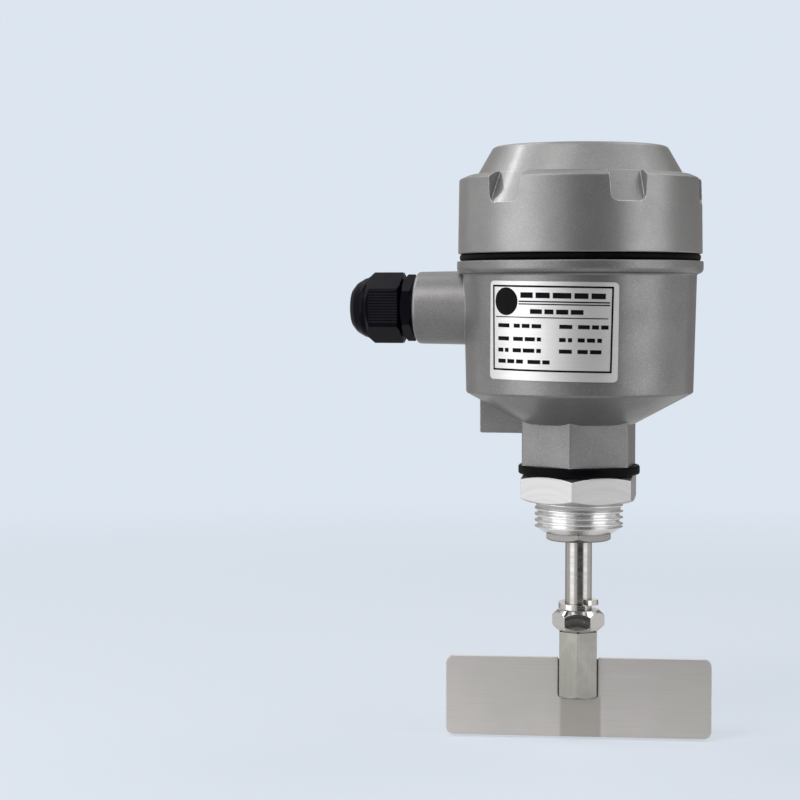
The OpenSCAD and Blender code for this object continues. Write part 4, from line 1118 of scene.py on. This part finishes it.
@dataclass
class ThreadedAdapter:
    """Process adapter: the hexagon from CAD with a real pipe thread under it."""

    crest_r: float = 16.6 * MM
    root_r: float = 15.1 * MM
    core_r: float = 12.0 * MM
    pitch: float = 2.309 * MM
    length: float = 11.7 * MM
    end_r: float = 13.5 * MM
    end_h: float = 2.2 * MM
    lead_from: float = 2.9 * MM
    lead_to: float = 2.2 * MM
    flank: tuple[float, float] = (0.10, 0.90)
    phase: float = 19.59
    rows_per_pitch: int = 20
    columns: int = 256

    def body(self, material: bpy.types.Material) -> bpy.types.Object:
        """Make the adapter without its thread: the CAD shape, slimmer under the hexagon.

        Args:
            material: Its finish.

        Returns:
            The piece.
        """
        mesh = bpy.data.meshes.new("adapter_copy")
        with editing(mesh) as work:
            work.from_mesh(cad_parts["adapter"].data)
            bmesh.ops.remove_doubles(work, verts=work.verts, dist=1e-6)
        for vertex in mesh.vertices:
            radius = vertex.co.xy.length
            if vertex.co.z < -0.01 * MM and radius > self.end_r - 0.1 * MM:
                vertex.co.xy *= (self.end_r - 0.4 * MM) / radius
        return plain_piece("adapter_body", mesh, material)

    def thread(self, material: bpy.types.Material) -> bpy.types.Object:
        """Make the thread: a sleeve whose radius follows the helix.

        Args:
            material: Its finish.

        Returns:
            The piece.
        """
        part = Part("adapter_thread", {
            "Crest Radius": self.crest_r, "Root Radius": self.root_r,
            "Core Radius": self.core_r, "Pitch": self.pitch, "Length": self.length,
            "End Radius": self.end_r, "End Height": self.end_h}, material)
        rows = int(self.length / self.pitch * self.rows_per_pitch)
        grid = part.add("GeometryNodeMeshGrid", {
            "Size X": 1.0, "Size Y": 1.0, "Vertices X": self.columns + 1,
            "Vertices Y": rows + 3})
        across, along, _ = part.position()
        turn = (across + 0.5) * math.tau
        row = (along + 0.5) * (rows + 2)
        height = part.clamp((row - 1.0) / rows) * (part["Length"] * -1.0)
        above_end = height + part["Length"]
        phase = part.math("FRACT", height / part["Pitch"] + (turn / math.tau + self.phase))
        ridge = part.math("ABSOLUTE", phase - 0.5) * 2.0
        ridge = part.math("MAXIMUM", part.remap(ridge, *self.flank),
                          part.remap(above_end, self.lead_from, self.lead_to))
        radius = part["Root Radius"] + ridge * (part["Crest Radius"] - part["Root Radius"])
        cone = part["End Radius"] + (above_end / part["End Height"]
                                     * (part["Crest Radius"] - part["End Radius"]))
        inner = part.math("LESS_THAN", row, 0.5) + part.math("GREATER_THAN", row, rows + 1.5)
        radius = part.add("ShaderNodeMapRange", {
            0: inner, 3: part.math("MINIMUM", radius, cone), 4: part["Core Radius"]})[0]
        shaped = part.add("GeometryNodeSetPosition", {
            "Geometry": grid["Mesh"], "Position": part.join(
                radius * part.math("COSINE", turn), radius * part.math("SINE", turn), height)})
        return self.close_bore(part.finish(shaped[0], angle=50.0))

    @staticmethod
    def close_bore(piece: bpy.types.Object) -> bpy.types.Object:
        """Join the two open rims of a sleeve by a tube of faces.

        Args:
            piece: A sleeve with two open rims of the same number of points.

        Returns:
            The same piece, closed.
        """
        with editing(piece.data) as work:
            bmesh.ops.bridge_loops(work, edges=[edge for edge in work.edges
                                                if edge.is_boundary])
            bmesh.ops.recalc_face_normals(work, faces=work.faces)
            for face in work.faces:
                face.smooth = True
        return piece

    def build(self, wardrobe: Wardrobe) -> None:
        """Make and settle both pieces."""
        settle(self.body(wardrobe.material("adapter_milled")), "housing", "adapter_metal",
               "adapter")
        settle(self.thread(wardrobe.material("adapter_metal")), "housing", "adapter_metal")


@dataclass
class DataPlate:
    """Generic print on the data plate: a frame line, a disc, rules and rows of dashes."""

    foot_r: float = 42.4 * MM
    foot_z: float = 40.9 * MM
    slope: float = 0.02489
    wrap_r: float = 43.1 * MM
    centre_z: float = 64.3 * MM
    turn: float = math.radians(6.4)
    lean: float = math.radians(1.0)
    width: float = 50.2 * MM
    height: float = 35.5 * MM
    foil_t: float = 0.4 * MM
    ink_t: float = 0.05 * MM
    step: float = 1.5 * MM
    seed: int = 11
    dash: tuple[float, float] = (1.6, 3.4)
    space: float = 0.55
    least_row: float = 0.9
    least_dash: float = 1.2

    def bar(self, work: bmesh.types.BMesh, x0: float, x1: float, y0: float, y1: float) -> None:
        """Add a flat bar, in millimetres from the plate's top left corner.

        Args:
            work: Mesh that takes the bar.
            x0: Left end.
            x1: Right end.
            y0: Top.
            y1: Bottom.
        """
        left, right = x0 * MM - self.width / 2, x1 * MM - self.width / 2
        top, foot = self.height / 2 - y0 * MM, self.height / 2 - y1 * MM
        count = max(1, math.ceil((right - left) / self.step))
        outline = ((foot, 0), (top, 0), (top, self.ink_t), (foot, self.ink_t))
        skin(work, [[work.verts.new((left + (right - left) * i / count, y, z))
                     for y, z in outline] for i in range(count + 1)])

    def disc(self, work: bmesh.types.BMesh, x: float, y: float, radius: float) -> None:
        """Add a plain disc, in millimetres from the plate's top left corner.

        Args:
            work: Mesh that takes the disc.
            x: Centre from the left.
            y: Centre from the top.
            radius: Radius of the disc.
        """
        centre = Vector((x * MM - self.width / 2, self.height / 2 - y * MM, 0))
        sides, steps = 64, 5
        levels = [(r, 0.0) for r in range(1, steps + 1)]
        levels += [(r, self.ink_t) for r in range(steps, 0, -1)]
        skin(work, [[work.verts.new(centre + Vector((
            radius * MM * r / steps * math.cos(math.tau * k / sides),
            radius * MM * r / steps * math.sin(math.tau * k / sides), z)))
            for k in range(sides)] for r, z in levels])

    def words(self, work: bmesh.types.BMesh, draw: random.Random, x0: float, x1: float,
              y: float, size: float) -> None:
        """Add a row of plain bars, which stands for a line of print.

        Args:
            work: Mesh that takes the row.
            draw: Source of the bars' lengths.
            x0: Left end.
            x1: Right end.
            y: Middle of the row.
            size: Height of the row.
        """
        x = x0
        while x < x1 - self.least_row:
            end = min(x + draw.uniform(*self.dash) * size, x1)
            if x1 - end < self.least_dash:
                end = x1
            self.bar(work, x, end, y - size / 2, y + size / 2)
            x = end + self.space * size

    def flat_print(self) -> bpy.types.Mesh:
        """Lay out the print on a flat plate.

        Returns:
            The flat mesh.
        """
        mesh = bpy.data.meshes.new("flat_print")
        draw = random.Random(self.seed)
        left, right, top, foot, line, gap = 1.8, 48.0, 1.5, 32.2, 0.68, 0.01
        with editing(mesh) as work:
            self.bar(work, left, right, top, top + line)
            self.bar(work, left, right, foot - line, foot)
            for x in (left, right - line):
                self.bar(work, x, x + line, top + line + gap, foot - line - gap)
            self.disc(work, 8.05, 7.35, 5.0)
            for rule in ((13.5, 46.7, 7.0, 7.5), (13.5, 46.7, 7.95, 8.4),
                         (3.25, 46.2, 12.75, 13.1)):
                self.bar(work, *rule)
            self.words(work, draw, 14.25, 46.7, 5.0, 2.0)
            self.words(work, draw, 18.1, 37.4, 10.8, 1.7)
            for y, split, end in ((16.0, 9.6, 46.4), (20.7, 9.4, 44.1), (24.8, 9.2, 45.6),
                                  (28.8, 15.4, 0.0)):
                row = [(4.4, split), (split + 1.9, 22.4 if end else 25.7)]
                for x0, x1 in row + ([(29.0, 33.6), (35.6, end)] if end else []):
                    self.words(work, draw, x0, x1, y, 1.45)
        return mesh

    def build(self, wardrobe: Wardrobe) -> None:
        """Wrap the print round the bowl and settle it.

        Args:
            wardrobe: Where the materials come from.
        """
        part = Part("plate_print", {
            "Foot Radius": self.foot_r + self.foil_t, "Foot Height": self.foot_z,
            "Slope": self.slope, "Wrap Radius": self.wrap_r, "Centre Height": self.centre_z,
            "Turn": self.turn, "Lean": self.lean}, wardrobe.material("ink"))
        x, y, depth = part.position()
        sine, cosine = (part.math(way, part["Lean"]) for way in ("SINE", "COSINE"))
        height = part["Centre Height"] + (y * cosine - x * sine)
        angle = (x * cosine + y * sine) / part["Wrap Radius"] - part["Turn"]
        radius = part["Foot Radius"] + depth + part["Slope"] * (height - part["Foot Height"])
        wrapped = part.add("GeometryNodeSetPosition", {
            "Geometry": part["Geometry"], "Position": part.join(
                radius * part.math("SINE", angle),
                radius * -1.0 * part.math("COSINE", angle), height)})
        settle(part.finish(wrapped[0], base=self.flat_print()), "housing", "plate_foil")


@dataclass
class GlandRibs:
    """Fine grip ribs on every other flat of the gland nut, and teeth round its dome's foot."""

    face_x: float = -61.7 * MM
    axis_z: float = 72.4 * MM
    start: float = 5.8 * MM
    length: float = 11.0 * MM
    flat_r: float = 11.95 * MM
    ribs: int = 11
    spread: float = 10.6 * MM
    rib_w: float = 0.5 * MM
    rib_h: float = 0.26 * MM
    ribbed_flats: tuple[float, ...] = (90, 210, 330)
    teeth: int = 84
    tooth_r: float = 11.6 * MM
    tooth_z: float = 18.3 * MM
    tooth: tuple[float, float, float] = (0.7 * MM, 0.42 * MM, 0.9 * MM)

    def rows(self, part: Part) -> Out:
        """Add the ribs of three flats, by instancing.

        Args:
            part: The piece's tree.

        Returns:
            The ribs, with the gland's axis along X.
        """
        rib = part.add("GeometryNodeMeshCube", {"Size": part.join(
            part["Length"], part["Rib Width"], part["Rib Height"] * 2.0)})
        row = part.add("GeometryNodeMeshLine", {
            "Count": self.ribs,
            "Start Location": part.join(part["Length"] * -0.5 - part["Start"],
                                        part["Spread"] * -0.5, part["Flat Radius"]),
            "Offset": part.join(0.0, part["Spread"] / (self.ribs - 1), 0.0)})
        facet = part.add("GeometryNodeInstanceOnPoints", {"Points": row[0],
                                                          "Instance": rib["Mesh"]})
        return part.gather(*(part.transform(facet[0], (math.radians(turn), 0, 0))
                             for turn in self.ribbed_flats))

    def ring(self, part: Part) -> Out:
        """Add the ring of teeth, by instancing.

        Args:
            part: The piece's tree.

        Returns:
            The teeth, with the gland's axis along X.
        """
        tooth = part.add("GeometryNodeMeshCube", {"Size": self.tooth})
        circle = part.add("GeometryNodeMeshCircle", {"Vertices": self.teeth,
                                                     "Radius": part["Tooth Radius"]})
        facing = part.add("FunctionNodeAlignRotationToVector", {
            "Vector": part.add("GeometryNodeInputPosition")[0]}, axis="X")
        teeth = part.add("GeometryNodeInstanceOnPoints", {
            "Points": circle[0], "Instance": tooth["Mesh"], "Rotation": facing[0]})
        return part.transform(teeth[0], (0, -math.pi / 2, 0), (-self.tooth_z, 0, 0))

    def build(self, wardrobe: Wardrobe) -> None:
        """Make the ribs and teeth and settle them on the nut.

        Args:
            wardrobe: Where the materials come from.
        """
        part = Part("gland_ribs", {
            "Flat Radius": self.flat_r, "Start": self.start, "Length": self.length,
            "Spread": self.spread, "Rib Width": self.rib_w, "Rib Height": self.rib_h,
            "Tooth Radius": self.tooth_r}, wardrobe.material("ribbed_nylon"))
        whole = part.gather(self.rows(part), self.ring(part))
        laid = part.transform(whole, shift=(self.face_x, 0, self.axis_z))
        settle(part.finish(laid), "gland_nut", "black_nylon")


@dataclass
class WireSpring:
    """A coil of round wire between two points, swept along a spiral."""

    name: str
    start: Point
    end: Point
    coil_r: float
    wire_r: float
    turns: float

    def piece(self, material: bpy.types.Material) -> bpy.types.Object:
        """Sweep the wire.

        Args:
            material: Its finish.

        Returns:
            The coil as a plain piece.
        """
        first, last = Vector(self.start), Vector(self.end)
        part = Part(self.name, {"Coil Radius": self.coil_r, "Wire Radius": self.wire_r,
                                "Length": (last - first).length, "Turns": self.turns}, material)
        spiral = part.add("GeometryNodeCurveSpiral", {
            "Resolution": 32, "Rotations": part["Turns"], "Start Radius": part["Coil Radius"],
            "End Radius": part["Coil Radius"], "Height": part["Length"]})
        wire = part.add("GeometryNodeCurvePrimitiveCircle", {"Resolution": 14,
                                                             "Radius": part["Wire Radius"]})
        swept = part.add("GeometryNodeCurveToMesh", {
            "Curve": spiral[0], "Profile Curve": wire[0], "Fill Caps": True})
        turn = (last - first).to_track_quat("Z", "Y").to_euler()
        return part.finish(part.transform(swept[0], tuple(turn), first), angle=60.0)


@dataclass
class Drive:
    """Springs of the slip clutch and of the swinging motor."""

    clutch_foot: float = 45.7 * MM
    clutch_head: float = 50.8 * MM
    slip: float = 1.6 * MM
    clutch_coil_r: float = 4.2 * MM
    clutch_wire: float = 0.8 * MM
    fixed_r: float = 32.0 * MM
    fixed_turn: float = math.radians(165.0)
    moving_r: float = 24.0 * MM
    moving_turn: float = math.radians(205.0)
    spring_z: float = 48.9 * MM
    eye: float = 1.85 * MM
    eye_opening: float = math.radians(20.0)
    eye_steps: int = 28
    leg: float = 0.6 * MM
    leg_bend: float = 0.35 * MM
    leg_drop: float = 0.3 * MM
    return_coil_r: float = 1.9 * MM
    return_wire: float = 0.7 * MM

    def clutch_spring(self, wardrobe: Wardrobe) -> None:
        """Make the clutch spring and ride it on the rotor.

        Args:
            wardrobe: Where the materials come from.
        """
        half = self.clutch_wire / 2
        spring = WireSpring("clutch_spring_coil", (0, 0, self.clutch_foot + half),
                            (0, 0, self.clutch_head - half), self.clutch_coil_r, half, 3.0)
        piece = spring.piece(wardrobe.material("spring_steel"))
        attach(piece, "rotor")
        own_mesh(piece)
        announce(piece, "spring_steel", "clutch_spring")

    def return_spring(self, wardrobe: Wardrobe) -> None:
        """Make the motor's return spring with an eye at each end.

        Args:
            wardrobe: Where the materials come from.
        """
        fixed, moving = (Vector((radius * math.cos(turn), radius * math.sin(turn),
                                 self.spring_z))
                         for radius, turn in ((self.fixed_r, self.fixed_turn),
                                              (self.moving_r, self.moving_turn)))
        way = (moving - fixed).normalized()
        inset = self.eye + self.return_wire + self.leg
        steel = wardrobe.material("spring_steel")
        coil = WireSpring("coil", tuple(fixed + way * inset), tuple(moving - way * inset),
                          self.return_coil_r, self.return_wire / 2, 9.0).piece(steel)
        mesh = bpy.data.meshes.new("return_spring_wire")
        with editing(mesh) as work:
            work.from_mesh(coil.data)
            self.eye_wire(work, fixed, way, inset)
            self.eye_wire(work, moving, -way, inset)
        bpy.data.objects.remove(coil)
        piece = plain_piece("return_spring_wire", mesh, steel, 60.0)
        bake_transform(piece)
        announce(piece, "spring_steel", "return_spring")

    def eye_wire(self, work: bmesh.types.BMesh, centre: Vector, toward: Vector,
                 inset: float) -> None:
        """Add the wire of one eye: a loop round the post and a leg to the coil.

        Args:
            work: Mesh that takes the wire.
            centre: Middle of the post.
            toward: Direction from the post to the coil.
            inset: Distance from the post to the coil's start.
        """
        wire = self.return_wire / 2
        loop = self.eye + wire
        side = Vector((-toward.y, toward.x, 0))
        path = [centre + toward * inset - Vector((0, 0, self.return_coil_r)),
                centre + toward * (loop + self.leg_bend) - Vector((0, 0, self.leg_drop))]
        for i in range(self.eye_steps + 1):
            angle = self.eye_opening + (math.tau - 2 * self.eye_opening) * i / self.eye_steps
            path.append(centre + toward * loop * math.cos(angle) + side * loop * math.sin(angle))
        sweep_tube(work, path, wire, 10)

    def build(self, wardrobe: Wardrobe) -> None:
        """Make both springs."""
        self.clutch_spring(wardrobe)
        self.return_spring(wardrobe)


def sweep_tube(work: bmesh.types.BMesh, path: Sequence[Vector], radius: float,
               sides: int) -> None:
    """Sweep a round wire along a path and close its ends.

    Args:
        work: Mesh that takes the wire.
        path: Points of the wire's middle line.
        radius: Radius of the wire.
        sides: Points round the wire.
    """
    rings: list[list[bmesh.types.BMVert]] = []
    for i, point in enumerate(path):
        along = (path[min(i + 1, len(path) - 1)] - path[max(i - 1, 0)]).normalized()
        across = along.cross(Vector((0, 0, 1))).normalized()
        up = across.cross(along).normalized()
        rings.append([work.verts.new(point + across * radius * math.cos(math.tau * k / sides)
                                     + up * radius * math.sin(math.tau * k / sides))
                      for k in range(sides)])
    skin(work, rings)


@dataclass
class WeldBead:
    """Weld beads under the coupler, as overlapping ripples on both faces, and dark seams painted
    as shadow in the gaps.
    """

    turn: float = math.radians(7.0)
    foot_z: float = -74.2 * MM
    half_width: float = 6.0 * MM
    ripple_r: float = 0.95 * MM
    ripples: int = 15
    flatten: tuple[float, float, float] = (0.75, 1.0, 0.8)
    depth: float = 1.0 * MM
    proud: float = 1.25
    sink: float = 0.15 * MM
    seam_x: float = 7.3 * MM
    seam: tuple[float, float, float] = (0.52 * MM, 1.4 * MM, 14.2 * MM)

    def build(self, wardrobe: Wardrobe) -> None:
        """Make the ripples by instancing and settle them on the rotor.

        Args:
            wardrobe: Where the materials come from.
        """
        part = Part("weld_ripples", {"Half Width": self.half_width,
                                     "Ripple Radius": self.ripple_r,
                                     "Depth": self.depth}, wardrobe.material("steel"))
        drop = part.add("GeometryNodeMeshIcoSphere", {"Radius": part["Ripple Radius"],
                                                      "Subdivisions": 3})
        flat = part.add("GeometryNodeTransform", {"Geometry": drop["Mesh"],
                                                  "Scale": self.flatten})
        step = part["Half Width"] * 2.0 / (self.ripples - 1)
        rows: list[Out] = []
        for side, seed in ((-1.0, 8), (1.0, 3)):
            row = part.add("GeometryNodeMeshLine", {
                "Count": self.ripples,
                "Start Location": part.join(part["Half Width"] * -1.0,
                                            part["Depth"] * (side * self.proud),
                                            self.foot_z - self.sink),
                "Offset": part.join(step, 0.0, 0.0)})
            wobble = part.add("FunctionNodeRandomValue", data_type="FLOAT_VECTOR", values={
                "Min": (0.9, 0.9, 0.85), "Max": (1.08, 1.08, 1.1), "Seed": seed})
            rows.append(part.add("GeometryNodeInstanceOnPoints", {
                "Points": row[0], "Instance": flat[0], "Scale": wobble[0]})[0])
        laid = part.transform(part.gather(*rows), (0, 0, self.turn))
        settle(part.finish(laid, angle=40.0), "rotor", "steel", "weld_beads")
        self.seams(wardrobe)

    def seams(self, wardrobe: Wardrobe) -> None:
        """Fill the two seams between coupler and blade with dark strips, a painted shadow in the
        gaps.

        Args:
            wardrobe: Where the materials come from.
        """
        part = Part("weld_seams", {"Seam Place": self.seam_x},
                    wardrobe.material("dark_spring_steel"))
        # Dark strips in the seams: painted shadow in the gaps beside the coupler.
        strip = part.add("GeometryNodeMeshCube", {"Size": self.seam})["Mesh"]
        middle = self.foot_z + self.seam[2] / 2
        whole = part.gather(*(
            part.transform(strip, shift=part.join(part["Seam Place"] * side, 0.0, middle))
            for side in (-1.0, 1.0)))
        settle(part.finish(part.transform(whole, (0, 0, self.turn))), "rotor",
               "dark_spring_steel")


def main() -> None:
    """Build the studio, dress the CAD nodes and add the detailed pieces."""
    logging.basicConfig(level=logging.INFO, format="%(name)s: %(message)s")
    Studio().build()
    wardrobe = Wardrobe()
    wardrobe.dress_nodes()
    for assembly in (ThreadedAdapter(), DataPlate(), GlandRibs(), WeldBead(), Drive()):
        assembly.build(wardrobe)


if __name__ == "__main__":
    main()
